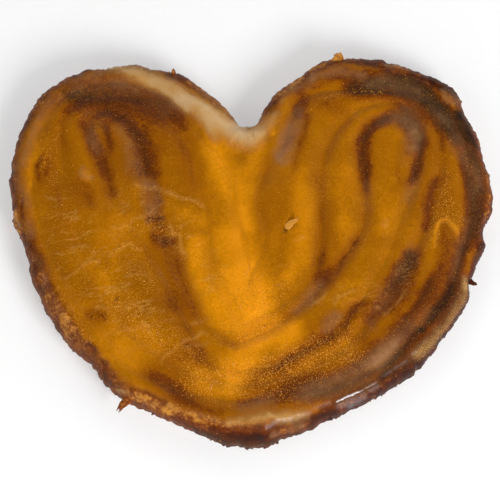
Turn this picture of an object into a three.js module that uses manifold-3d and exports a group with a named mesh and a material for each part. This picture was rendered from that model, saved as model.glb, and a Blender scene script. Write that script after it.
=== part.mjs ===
// A palmier: puff pastry rolled in from both sides, sliced, laid flat and baked under sugar.
// Millimetres, +Z up, lying on z = 0. +X is its width, and the notch between its two lobes points to +Y.

import * as THREE from 'three';
import { mergeVertices } from 'three/addons/utils/BufferGeometryUtils.js';
import Module from 'manifold-3d';

// ---- driving sizes ----
const topHeight = 12.6; // height of the folds' crowns
const bellyHeight = 6.2; // height where the edge wall is widest and the rounded shoulder starts
const shoulderWidth = 5.2; // how far the shoulder reaches in from the wall
const shoulderPower = 2.1; // 2 is a round shoulder, more is squarer
const creaseWidth = 1.9; // half width of the valley between two folds
const crownHeight = 0.55; // how much a wide fold swells above its edges
const wideFold = 12; // a fold at least this wide swells that much, a narrower one less
const quietShare = 0.25; // creases die out within this share of a band next to the slit and the core
const slitSwell = 0.4; // share of the crown height where the two halves meet
const coreSwell = 0.8; // share of it on the innermost fold
const swayHeight = 0.45; // slow rise and fall of the whole top
const swayWaves = [ // its waves: share of the height, turns per mm along x and y in radians, and start
  { share: 0.6, alongX: 0.071, alongY: 0.083, start: 0.4 },
  { share: 0.4, alongX: 0.16, alongY: -0.12, start: 2.1 },
];
const undersideCrease = 0.45; // share of a crease's depth that shows on the underside
const coreHalfWidth = 0.9; // half the gap between the two sides of the innermost line
const coreTaper = 0.12; // share of its length over which that gap closes at each end
const crumble = 0.5; // ragged in and out of the rim
const crumbleWaves = [ // share of the crumble, and noise cells per step round the rim
  { share: 0.6, perStep: 0.9, start: 0 },
  { share: 0.4, perStep: 0.37, start: 50 },
];
const wallWave = { perStep: 0.8, perHeight: 17 }; // the same noise on the wall's lower rings
const seed = 41;
const mergeDistance = 1e-4;
const middle = [0.2, 1.4]; // middle of the outline as drawn below, moved to the origin at the end

// The wall below the belly: [inset from the belly, height, how ragged].
const wallSection = [[0.15, 3.6, 0.3], [0.75, 1.1, 0.25], [1.9, 0, 0]];

// Steps along each stretch of a fold line, the same on every line.
const steps = { leg: 14, arch: 36, flank: 44 };

// Where the rings lie between one fold line and the next, 0 on the outer one.
const topRings = [
  [0, 0.05, 0.17, 0.34, 0.56, 0.82], // rim to outer fold
  [0, 0.14, 0.5, 0.86], // outer to middle fold
  [0, 0.17, 0.5, 0.83], // middle to inner fold
  [0, 0.22, 0.6], // inner fold to the core
];
const undersideRings = [[0, 0.5], [0, 0.25, 0.75], [0, 0.5], [0]];

// ---- fold lines ----
// Each line runs once round the heart: up the inside of the right lobe (leg), over it (arch), down its
// outside (flank) to the tip, then the same stretches of the left lobe backwards. A point is [x, y] and,
// on a crease, its depth. Each stretch starts where the one before it ended.
const foldLines = {
  rim: {
    start: [0, -4],
    rightLeg: [[-1, 35]],
    rightArch: [[0.9, 35.4], [3, 38.4], [5, 42.3], [8, 46.2], [12, 48.9], [18.2, 53.1], [21.6, 55], [28, 55.5],
      [34.3, 55.3], [39, 54.4], [44.2, 52.4], [49.8, 50], [56.3, 46.5], [58.6, 43.2], [59.7, 38.8],
      [62.8, 31], [63.8, 26.2]],
    rightFlank: [[65.3, 21], [65.9, 11], [63.4, 6.3], [63.2, 0.8], [59.2, -9], [58, -15], [54.6, -20.2],
      [48.7, -28], [46.3, -31.4], [38, -37.7], [33.4, -40.5], [22, -46], [12.2, -50.3], [2.5, -53.5], [-2.2, -53.9]],
    leftFlank: [[-6.6, -53], [-15.9, -48.9], [-28.6, -43.3], [-36.9, -38.2], [-42.6, -31.2], [-47.3, -27.1],
      [-54.3, -17.3], [-58.5, -7.7], [-60.6, -0.3], [-64, 7.6], [-64.6, 14], [-65.7, 17.5], [-65.4, 23.8],
      [-64.3, 30.8]],
    leftArch: [[-61.5, 38.3], [-59.2, 42.3], [-55, 46.7], [-46, 51.6], [-39.8, 52.2],
      [-36.8, 53.3], [-30.2, 53.2], [-19, 50.3], [-9.1, 43.2], [-4.2, 37.6], [-2.7, 35.4], [-1, 35]],
    leftLeg: [[0, -4]],
  },
  outer: {
    start: [0.1, -9, 0.3],
    rightLeg: [[4, 2, 0.5], [2, 11, 0.6], [4.5, 20, 0.6], [8.5, 27, 0.9]],
    rightArch: [[10, 33, 1], [13, 41, 1], [19, 43.6, 0.6], [27, 44.2, 1], [36, 44, 1.2], [44, 43.5, 1.1],
      [51, 40.5, 1.1], [57, 32, 0.9], [59, 24, 0.9]],
    rightFlank: [[59.4, 12, 1.2], [57, -1, 1.2], [53.5, -10.4, 1], [48.5, -18, 1], [42.5, -26, 1.2],
      [35, -32.5, 1], [23, -38, 0.9], [10, -41, 0.8], [-4, -43, 0.8]],
    leftFlank: [[-19, -39.5, 1.2], [-29, -35, 0.9], [-38, -28, 0.8], [-44.5, -20.5, 0.9], [-50.5, -11, 0.9],
      [-55, 0, 1], [-58.3, 12, 1], [-59.5, 22, 0.9], [-58, 31, 0.8]],
    leftArch: [[-52, 41, 1.2], [-44, 45, 1.2], [-33, 46.4, 1], [-25, 43.5, 1],
      [-19, 38.5, 1], [-13, 31, 0.8], [-8, 25, 0.6]],
    leftLeg: [[-5, 19, 0.5], [-4.5, 12, 0.5], [-3, 3, 0.4], [0.1, -9, 0.3]],
  },
  middle: {
    start: [-2, -22, 0.3],
    rightLeg: [[7, -18, 0.5], [15.5, -11, 0.9], [18.4, -3, 1.1], [18.6, 10, 1.1], [19.5, 22, 1], [20.5, 26.5, 1]],
    rightArch: [[24, 33, 0.9], [30, 38.5, 0.8], [39, 40.5, 0.8], [47, 37.5, 0.9], [51, 29.5, 0.8], [51.5, 21, 1]],
    rightFlank: [[49.5, 14, 1.4], [48, 7, 1.4], [44, -1, 1.2], [38.5, -11, 1.2], [34, -18, 1.2],
      [26, -27, 0.8], [15, -34, 0.8], [5, -37.5, 0.7], [-4, -38.8, 0.6]],
    leftFlank: [[-16, -35, 0.7], [-27, -27.5, 0.6], [-36, -18, 0.6], [-42, -9, 0.5], [-46.5, 2, 0.5], [-50, 14, 0.5],
      [-51.6, 28, 0.7]],
    leftArch: [[-51, 35, 0.8], [-47, 40.5, 1], [-40, 42.5, 1.1], [-31, 41.5, 1],
      [-24, 37, 0.9], [-19, 31.5, 0.7], [-16, 26, 0.6]],
    leftLeg: [[-13, 15, 0.5], [-11.5, 3, 0.4], [-9, -9, 0.4], [-2, -22, 0.3]],
  },
  inner: {
    start: [-3, -27.5, 0.6],
    rightLeg: [[4, -24.5, 0.7], [10, -20.3, 1], [15.5, -15.5, 1.1], [20.5, -9.5, 1], [25.5, -3.2, 0.9],
      [29, 2, 0.8], [31, 9, 0.8], [30.5, 18, 1.3], [30, 26, 1.5]],
    rightArch: [[31, 32.5, 1.5], [34.5, 35.8, 1.4], [40.5, 36.8, 1.2], [45, 34.5, 1.1], [46.6, 29, 1], [46, 23, 1.2]],
    rightFlank: [[44.3, 16, 1.3], [41.5, 10, 0.8], [38, 0, 0.5], [33, -10, 0.6], [27.5, -18, 1],
      [20, -25.5, 1], [12.5, -30, 1], [5, -33.5, 0.8], [-4, -35, 0.6]],
    leftFlank: [[-10.5, -32.5, 0.8], [-15, -27, 0.8], [-19, -20, 0.8], [-24, -11, 0.8], [-29, -2, 0.6],
      [-34, 7, 0.5], [-37.2, 14, 0.9], [-39.5, 22.5, 1.2], [-43, 29.5, 1.2]],
    leftArch: [[-44.5, 35, 1.1], [-41, 38.5, 1.1], [-37, 37.5, 1.2],
      [-33, 33.5, 1.5], [-29.8, 28, 1.6]],
    leftLeg: [[-27.8, 20, 1.5], [-26.5, 11, 1], [-23, 2, 1.1], [-19.5, -6, 1.1], [-15.5, -14.5, 1],
      [-11.5, -22, 1], [-3, -27.5, 0.6]],
  },
};

// The innermost line, from the end in the right lobe down to the bend above the tip and up the left lobe.
const coreRight = [[-3.5, -31.2], [8, -26.8], [17.5, -20], [25, -12], [31.5, -2.5], [35.8, 6], [37.8, 15], [38.4, 25]];
const coreLeft = [[-3.5, -31.2], [-11, -27.5], [-15.8, -20.5], [-21, -10.5], [-25.5, -1.5], [-30, 7], [-33.5, 15],
  [-36, 23], [-38.5, 30]];

// Flakes that stand off the edge or the top: place, heading and tilt in degrees, and size.
const flakes = [
  { at: [24.6, 53.4, 10.6], heading: 82, tilt: 12, length: 5.4, width: 4.2, thick: 0.7, curl: 0.5 },
  { at: [-32.1, -41.6, 8.4], heading: 236, tilt: -16, length: 8, width: 3, thick: 0.8, curl: -1.1 },
  { at: [-52.3, 46.7, 9.4], heading: 122, tilt: 4, length: 4.6, width: 5, thick: 0.9, curl: 0.3 },
  { at: [-21, 49.2, 10.4], heading: 112, tilt: 20, length: 3.6, width: 2.2, thick: 0.7, curl: 0.3 },
  { at: [58.6, -11.2, 6.4], heading: -14, tilt: 0, length: 3.8, width: 2, thick: 0.9, curl: -0.2 },
  { at: [10.4, 4.6, 13.1], heading: 38, tilt: 15, length: 4.6, width: 2.4, thick: 0.6, curl: 0.3 },
];

const flakeTaper = 0.45; // share of its width that a flake loses at its free end
const flakeThinning = 0.4; // and of its thickness
const flakeBend = 0.12; // sideways bend, in widths
const flakeBendWave = 5; // radians of that bend over the length
const flakeCuts = { length: 4, width: 2 }; // faces along and across it

const crust = new THREE.MeshStandardMaterial({ color: 0xb87412, roughness: 0.4, metalness: 0 });

const wasm = await Module();
wasm.setup();

// ---- helpers ----

// A number between -1 and 1 for each whole number, mixed from it and the seed.
function hash(cell) {
  let mixed = Math.imul(cell + 1013 * seed, 2654435761);
  mixed = Math.imul(mixed ^ (mixed >>> 15), 2246822519);
  return ((mixed ^ (mixed >>> 13)) >>> 0) / 2 ** 31 - 1;
}

// Smooth noise between -1 and 1 that passes through those numbers.
function waver(u) {
  const cell = Math.floor(u);
  const blend = THREE.MathUtils.smoothstep(u - cell, 0, 1);
  return THREE.MathUtils.lerp(hash(cell), hash(cell + 1), blend);
}

function isSlit(name, stretch) {
  return name === 'rim' && (stretch === 'rightLeg' || stretch === 'leftLeg');
}

const stretches = ['rightLeg', 'rightArch', 'rightFlank', 'leftFlank', 'leftArch', 'leftLeg'];

function stepsOf(stretch) {
  if (stretch.endsWith('Leg')) return steps.leg;
  return stretch.endsWith('Arch') ? steps.arch : steps.flank;
}

// The points of one fold line at equal steps of length within each stretch. The z of a point holds the
// crease's depth there.
function sampleLine(name) {
  const line = foldLines[name];
  const samples = [];
  const all = [line.start];
  const ends = [0];
  for (const stretch of stretches) {
    all.push(...line[stretch]);
    ends.push(all.length - 1);
  }
  const knots = all.map(([x, y, depth = 0]) => new THREE.Vector3(x, y, depth));
  stretches.forEach((stretch, k) => {
    const count = stepsOf(stretch);
    const own = knots.slice(ends[k], ends[k + 1] + 1);
    const curve = isSlit(name, stretch)
      ? new THREE.LineCurve3(own[0], own[own.length - 1])
      : new THREE.CatmullRomCurve3(own, false, 'centripetal');
    for (let i = 0; i < count; i += 1) samples.push(curve.getPointAt(i / count));
  });
  return samples;
}

// The core seen from the heart's inside (upper side) on legs, one point on arches, and its other side on
// flanks. The two sides stand apart by the core's width, tapering to nothing at its ends.
function sampleCore() {
  const curveOf = (list) => new THREE.CatmullRomCurve3(list.map(([x, y]) => new THREE.Vector3(x, y, 0)));
  const right = curveOf(coreRight);
  const left = curveOf(coreLeft);
  const pointAt = (curve, share, side) => {
    const point = curve.getPointAt(share);
    const along = curve.getTangentAt(share);
    const width = side * coreHalfWidth * Math.min(1, (1 - share) / coreTaper);
    return point.add(new THREE.Vector3(-along.y, along.x, 0).multiplyScalar(width));
  };
  const samples = [];
  for (let i = 0; i < steps.leg; i += 1) samples.push(pointAt(right, i / steps.leg, 1));
  for (let i = 0; i < steps.arch; i += 1) samples.push(right.getPointAt(1));
  for (let i = 0; i < steps.flank; i += 1) samples.push(pointAt(right, 1 - i / steps.flank, -1));
  for (let i = 0; i < steps.flank; i += 1) samples.push(pointAt(left, i / steps.flank, 1));
  for (let i = 0; i < steps.arch; i += 1) samples.push(left.getPointAt(1));
  for (let i = 0; i < steps.leg; i += 1) samples.push(pointAt(left, 1 - i / steps.leg, -1));
  return samples;
}

// Ragged rim: every outline point moves out or in by seeded noise, none on the slit.
function roughenRim(rim) {
  const slitEnd = steps.leg;
  const slitStart = rim.length - steps.leg;
  return rim.map((point, i) => {
    if (i <= slitEnd || i >= slitStart) return point.clone();
    const before = rim[i - 1];
    const after = rim[(i + 1) % rim.length];
    const out = new THREE.Vector3(-(after.y - before.y), after.x - before.x, 0).normalize();
    let ragged = 0;
    for (const { share, perStep, start } of crumbleWaves) ragged += share * waver(i * perStep + start);
    return point.clone().addScaledVector(out, crumble * ragged);
  });
}

const rim = roughenRim(sampleLine('rim'));
const lines = [rim, sampleLine('outer'), sampleLine('middle'), sampleLine('inner'), sampleCore()];
const around = rim.length;
const outline = rim.slice(steps.leg, around - steps.leg + 1);

function distanceToOutline(x, y) {
  let least = Infinity;
  for (let i = 0; i + 1 < outline.length; i += 1) {
    const a = outline[i];
    const b = outline[i + 1];
    const dx = b.x - a.x;
    const dy = b.y - a.y;
    const share = THREE.MathUtils.clamp(((x - a.x) * dx + (y - a.y) * dy) / (dx * dx + dy * dy), 0, 1);
    least = Math.min(least, Math.hypot(x - a.x - share * dx, y - a.y - share * dy));
  }
  return least;
}

// Shoulder: a rounded quarter from the belly up to the top, then level.
function shoulder(distance) {
  const inward = 1 - Math.min(1, distance / shoulderWidth);
  return bellyHeight + (topHeight - bellyHeight) * (1 - inward ** shoulderPower) ** (1 / shoulderPower);
}

// Slow rise and fall over the whole top, as baked pastry has.
function sway(x, y) {
  let height = 0;
  for (const { share, alongX, alongY, start } of swayWaves) {
    height += swayHeight * share * Math.sin(x * alongX + y * alongY + start);
  }
  return height;
}

// How far the surface between two fold lines lies below (creases) or above (crown) its plain level.
function reliefAt(i, band, share) {
  const from = lines[band][i];
  const to = lines[band + 1][i];
  const width = Math.hypot(to.x - from.x, to.y - from.y);
  const valley = (depth, distance) => -depth * Math.exp(-((distance / creaseWidth) ** 2));
  const lastBand = band === lines.length - 2;
  const fromDepth = from.z * (lastBand ? Math.min(1, (1 - share) / quietShare) : 1);
  const toDepth = to.z * (band === 0 ? Math.min(1, share / quietShare) : 1);
  const onSlit = band === 0 && (i < steps.leg || i > around - steps.leg);
  const swell = Math.sin(Math.PI * (lastBand ? share / 2 : onSlit ? (1 + share) / 2 : share));
  const wideness = lastBand ? coreSwell : onSlit ? slitSwell : Math.min(1, width / wideFold);
  const crown = crownHeight * wideness * swell;
  return crown + valley(fromDepth, share * width) + valley(toDepth, (1 - share) * width);
}

function planPoint(i, band, share) {
  const from = lines[band][i];
  const to = lines[band + 1][i];
  return [THREE.MathUtils.lerp(from.x, to.x, share), THREE.MathUtils.lerp(from.y, to.y, share)];
}

function topPoint(i, band, share) {
  const [x, y] = planPoint(i, band, share);
  const distance = distanceToOutline(x, y);
  const fade = Math.min(1, distance / shoulderWidth);
  return [x, y, shoulder(distance) + fade * (reliefAt(i, band, share) + sway(x, y))];
}

// The underside lies flat on the pads between its creases.
function undersidePoint(i, band, share) {
  const [x, y] = planPoint(i, band, share);
  const onCrease = band > 0 && share === 0;
  return [x, y, onCrease ? undersideCrease * lines[band][i].z : 0];
}

// A point of the wall, stepped in towards the outer fold, or along the slit at the notch itself.
function wallPoint(i, [plainInset, height, ragged]) {
  const atNotch = i === steps.leg || i === around - steps.leg;
  const noise = waver(i * wallWave.perStep + height * wallWave.perHeight);
  const inset = plainInset + (atNotch ? 0 : ragged * noise);
  const from = lines[0][i];
  const to = atNotch ? lines[0][0] : lines[1][i];
  const share = inset / Math.hypot(to.x - from.x, to.y - from.y);
  return [THREE.MathUtils.lerp(from.x, to.x, share), THREE.MathUtils.lerp(from.y, to.y, share), height];
}

// ---- the solid ----

const positions = [];
const triangles = [];

function addRing(pointAt, first = 0, count = around) {
  const ids = [];
  for (let k = 0; k < count; k += 1) {
    ids.push(positions.length / 3);
    positions.push(...pointAt((first + k) % around));
  }
  return ids;
}

// Two triangles between each pair of neighbours of an outer and an inner ring.
function joinRings(outerIds, innerIds, closed, facingUp) {
  const last = closed ? outerIds.length : outerIds.length - 1;
  for (let i = 0; i < last; i += 1) {
    const next = (i + 1) % outerIds.length;
    const quad = [outerIds[i], outerIds[next], innerIds[next], innerIds[i]];
    if (facingUp) quad.reverse();
    triangles.push(quad[0], quad[1], quad[2], quad[0], quad[2], quad[3]);
  }
}

// Triangles between the two sides of the core, stepping along whichever side lags behind.
function zipCore(ring, facingUp) {
  const rightEnd = steps.leg;
  const leftEnd = around - steps.leg;
  const inside = [];
  for (let i = leftEnd; i <= around + rightEnd; i += 1) inside.push(ring[i % around]);
  const outside = [];
  for (let i = leftEnd - steps.arch; i >= rightEnd + steps.arch; i -= 1) outside.push(ring[i]);
  let a = 0;
  let b = 0;
  while (a < inside.length - 1 || b < outside.length - 1) {
    const insideShare = (a + 1) / (inside.length - 1);
    const outsideShare = (b + 1) / (outside.length - 1);
    const stepInside = b === outside.length - 1 || (a < inside.length - 1 && insideShare <= outsideShare);
    const tri = stepInside ? [inside[a], outside[b], inside[a + 1]] : [inside[a], outside[b], outside[b + 1]];
    if (!facingUp) tri.reverse();
    triangles.push(...tri);
    if (stepInside) a += 1;
    else b += 1;
  }
}

// Rings from the outermost to the core, joined one to the next.
function addFace(ringShares, pointAt, facingUp) {
  const rings = [];
  ringShares.forEach((shares, band) => {
    for (const share of shares) rings.push(addRing((i) => pointAt(i, band, share)));
  });
  rings.push(addRing((i) => pointAt(i, ringShares.length - 1, 1)));
  for (let k = 0; k + 1 < rings.length; k += 1) joinRings(rings[k], rings[k + 1], true, facingUp);
  zipCore(rings[rings.length - 1], facingUp);
}

// The wall from the belly down, on the outline only, and the foot's first step under the pastry.
function addWall() {
  const count = outline.length;
  const rings = [addRing((i) => topPoint(i, 0, 0), steps.leg, count)];
  for (const level of wallSection) {
    rings.push(addRing((i) => wallPoint(i, level), steps.leg, count));
  }
  for (let k = 0; k + 1 < rings.length; k += 1) joinRings(rings[k], rings[k + 1], false, false);
}

function buildBody() {
  const foot = wallSection[wallSection.length - 1];
  const footPoint = (i, band, share) => {
    const onSlit = i < steps.leg || i > around - steps.leg;
    return band === 0 && share === 0 && !onSlit ? wallPoint(i, foot) : undersidePoint(i, band, share);
  };
  addFace(topRings, topPoint, true);
  addWall();
  addFace(undersideRings, footPoint, false);
}

// A flake: a thin plate that narrows and curls towards its free end.
function flakeGeometry({ at, heading, tilt, length, width, thick, curl }) {
  const plate = new THREE.BoxGeometry(length, width, thick, flakeCuts.length, flakeCuts.width, 1);
  const place = plate.getAttribute('position');
  for (let k = 0; k < place.count; k += 1) {
    const out = place.getX(k) / length + 0.5;
    const bend = flakeBend * width * Math.sin(flakeBendWave * out);
    place.setY(k, place.getY(k) * (1 - flakeTaper * out * out) + bend);
    place.setZ(k, place.getZ(k) * (1 - flakeThinning * out) + curl * out * out);
  }
  plate.rotateY(THREE.MathUtils.degToRad(-tilt));
  plate.rotateZ(THREE.MathUtils.degToRad(heading));
  plate.translate(...at);
  return plate;
}

// A closed solid from a geometry whose seams are merged and whose empty triangles are dropped.
function solidOf(geometry) {
  const bare = new THREE.BufferGeometry();
  bare.setAttribute('position', geometry.getAttribute('position'));
  bare.setIndex(geometry.getIndex());
  const merged = mergeVertices(bare, mergeDistance);
  const ids = merged.getIndex().array;
  const kept = [];
  for (let k = 0; k < ids.length; k += 3) {
    const [a, b, c] = [ids[k], ids[k + 1], ids[k + 2]];
    if (a !== b && b !== c && a !== c) kept.push(a, b, c);
  }
  const vertProperties = new Float32Array(merged.getAttribute('position').array);
  return new wasm.Manifold(new wasm.Mesh({ numProp: 3, vertProperties, triVerts: new Uint32Array(kept) }));
}

function geometryOf(solid) {
  const { vertProperties, triVerts } = solid.getMesh();
  const geometry = new THREE.BufferGeometry();
  geometry.setAttribute('position', new THREE.BufferAttribute(vertProperties, 3));
  geometry.setIndex(new THREE.BufferAttribute(triVerts, 1));
  geometry.computeVertexNormals();
  return geometry;
}

buildBody();
const bodyGeometry = new THREE.BufferGeometry();
bodyGeometry.setAttribute('position', new THREE.Float32BufferAttribute(positions, 3));
bodyGeometry.setIndex(triangles);

let pastry = solidOf(bodyGeometry);
for (const flake of flakes) pastry = pastry.add(solidOf(flakeGeometry(flake)));
pastry = pastry.translate([-middle[0], -middle[1], 0]);

const mesh = new THREE.Mesh(geometryOf(pastry), crust);
mesh.name = 'palmier';
const group = new THREE.Group();
group.add(mesh);

export default group;
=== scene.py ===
# A glazed palmier: puff pastry rolled in from both sides, baked brown and covered in sugar glaze.
# Lengths are millimetres until a mesh is made. +X is its width and the notch between the lobes points to +Y.

import math
import bpy
import numpy as np
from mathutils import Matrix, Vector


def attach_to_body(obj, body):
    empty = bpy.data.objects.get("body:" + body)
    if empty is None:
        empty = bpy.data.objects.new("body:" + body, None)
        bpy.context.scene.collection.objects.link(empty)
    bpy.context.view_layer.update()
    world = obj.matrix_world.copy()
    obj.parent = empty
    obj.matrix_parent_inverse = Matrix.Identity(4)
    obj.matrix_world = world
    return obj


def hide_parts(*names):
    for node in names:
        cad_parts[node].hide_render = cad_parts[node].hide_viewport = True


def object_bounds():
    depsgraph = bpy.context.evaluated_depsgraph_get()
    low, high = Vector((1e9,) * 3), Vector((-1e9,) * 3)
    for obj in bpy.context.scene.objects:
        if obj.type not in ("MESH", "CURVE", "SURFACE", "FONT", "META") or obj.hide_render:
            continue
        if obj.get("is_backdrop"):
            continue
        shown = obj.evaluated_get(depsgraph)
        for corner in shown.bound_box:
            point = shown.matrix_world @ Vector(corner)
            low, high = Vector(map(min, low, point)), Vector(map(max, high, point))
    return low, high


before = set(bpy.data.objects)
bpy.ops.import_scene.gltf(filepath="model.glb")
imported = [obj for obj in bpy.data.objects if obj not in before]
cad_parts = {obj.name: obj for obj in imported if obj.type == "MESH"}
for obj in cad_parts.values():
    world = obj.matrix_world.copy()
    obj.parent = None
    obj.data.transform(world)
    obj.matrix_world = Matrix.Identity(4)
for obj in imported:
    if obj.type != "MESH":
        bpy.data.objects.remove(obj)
cadBox = [list(corner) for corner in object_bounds()]
print("frame loaded", cadBox)

metre = 0.001
middle = np.array([0.2, 1.4, 0.0])  # middle of the outline as drawn, moved to the origin in every mesh
viewer = np.array([0.0, -139.06, 433.97])  # the camera's place above the drawing
drawingLevel = 12.0  # height of the plane that the strokes are drawn on
rimSeed = 41
mixers = {"seed": 1013, "first": 2654435761, "second": 2246822519, "x": 7919, "y": 104729}
tiny = 1e-9  # keeps a division from meeting nought
tinySquare = 1e-12
elsewhere = (91.7, -37.1, 3)  # in x, in y and in the seed, from a noise to one that doesn't go with it
brush = {"parts": 6, "finest": 8, "dab": 0.01}  # parts between two points, steps of each, a dab's length


# Number in -1..1 for whole numbers: the bits of the number and the seed are multiplied and folded twice.
def hashCell(cell, seed=rimSeed):
    whole = (np.asarray(cell, np.int64) + mixers["seed"] * seed).astype(np.uint32)
    mixed = whole * np.uint32(mixers["first"])
    mixed = (mixed ^ (mixed >> np.uint32(15))) * np.uint32(mixers["second"])
    return (mixed ^ (mixed >> np.uint32(13))).astype(float) / 2.0 ** 31 - 1.0


# Three times the square less twice the cube: level at both ends.
def smooth(share):
    return share * share * (3.0 - 2.0 * share)


# 0 up to low and 1 from high on, smooth between them.
def ramp(values, low, high):
    return smooth(np.clip((values - low) / (high - low), 0.0, 1.0))


# Noise along a line: smooth steps from one whole number's value to the next.
def waver(u, seed=rimSeed):
    cell = np.floor(u).astype(np.int64)
    blend = smooth(u - cell)
    return hashCell(cell, seed) * (1 - blend) + hashCell(cell + 1, seed) * blend


# Sum of such noises along a line: each times its strength, at its cells per step, from its start.
def waves(steps, parts):
    return sum(strength * waver(steps * perStep + start, seed) for strength, perStep, start, seed in parts)


# Noise over a plane: the same, blended between the four corners of each square cell.
def noise2(x, y, seed):
    cellX = np.floor(x).astype(np.int64)
    cellY = np.floor(y).astype(np.int64)
    blendX = smooth(x - cellX)
    blendY = smooth(y - cellY)
    corner = lambda i, j: hashCell((cellX + i) * mixers["x"] + (cellY + j) * mixers["y"], seed)
    low = corner(0, 0) * (1 - blendX) + corner(1, 0) * blendX
    high = corner(0, 1) * (1 - blendX) + corner(1, 1) * blendX
    return low * (1 - blendY) + high * blendY


# Sum of three such noises, each half as large and half as strong as the one before, over the sum of their
# strengths.
def roughness2(x, y, size, seed):
    total = 0.0
    for octave in range(3):
        scale = 2.0 ** octave / size
        total = total + 0.5 ** octave * noise2(x * scale, y * scale, seed + octave)
    return total / 1.75


# Smooth curve through points: centripetal Catmull-Rom, each stretch a cubic whose end slopes come from
# the points before and after it, walked in equal steps of length. shares run from 0 to 1.
def curveThrough(points, shares, finest=24):
    points = np.asarray(points, float)
    padded = np.vstack([2 * points[0] - points[1], points, 2 * points[-1] - points[-2]])
    gaps = np.sqrt(np.linalg.norm(np.diff(padded, axis=0), axis=1))
    p0, p1, p2, p3 = padded[:-3], padded[1:-2], padded[2:-1], padded[3:]
    g0, g1, g2 = gaps[:-2, None], gaps[1:-1, None], gaps[2:, None]
    slope1 = ((p1 - p0) / g0 - (p2 - p0) / (g0 + g1) + (p2 - p1) / g1) * g1
    slope2 = ((p2 - p1) / g1 - (p3 - p1) / (g1 + g2) + (p3 - p2) / g2) * g1
    t = (np.arange(finest) / finest)[None, :, None]
    a, b = p1[:, None], slope1[:, None]
    c = (-3 * p1 + 3 * p2 - 2 * slope1 - slope2)[:, None]
    d = (2 * p1 - 2 * p2 + slope1 + slope2)[:, None]
    dense = (a + b * t + c * t ** 2 + d * t ** 3).reshape(-1, points.shape[1])
    dense = np.vstack([dense, points[-1]])
    length = np.concatenate([[0], np.cumsum(np.linalg.norm(np.diff(dense, axis=0), axis=1))])
    wanted = np.asarray(shares) * length[-1]
    return np.stack([np.interp(wanted, length, dense[:, k]) for k in range(points.shape[1])], axis=1)


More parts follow.
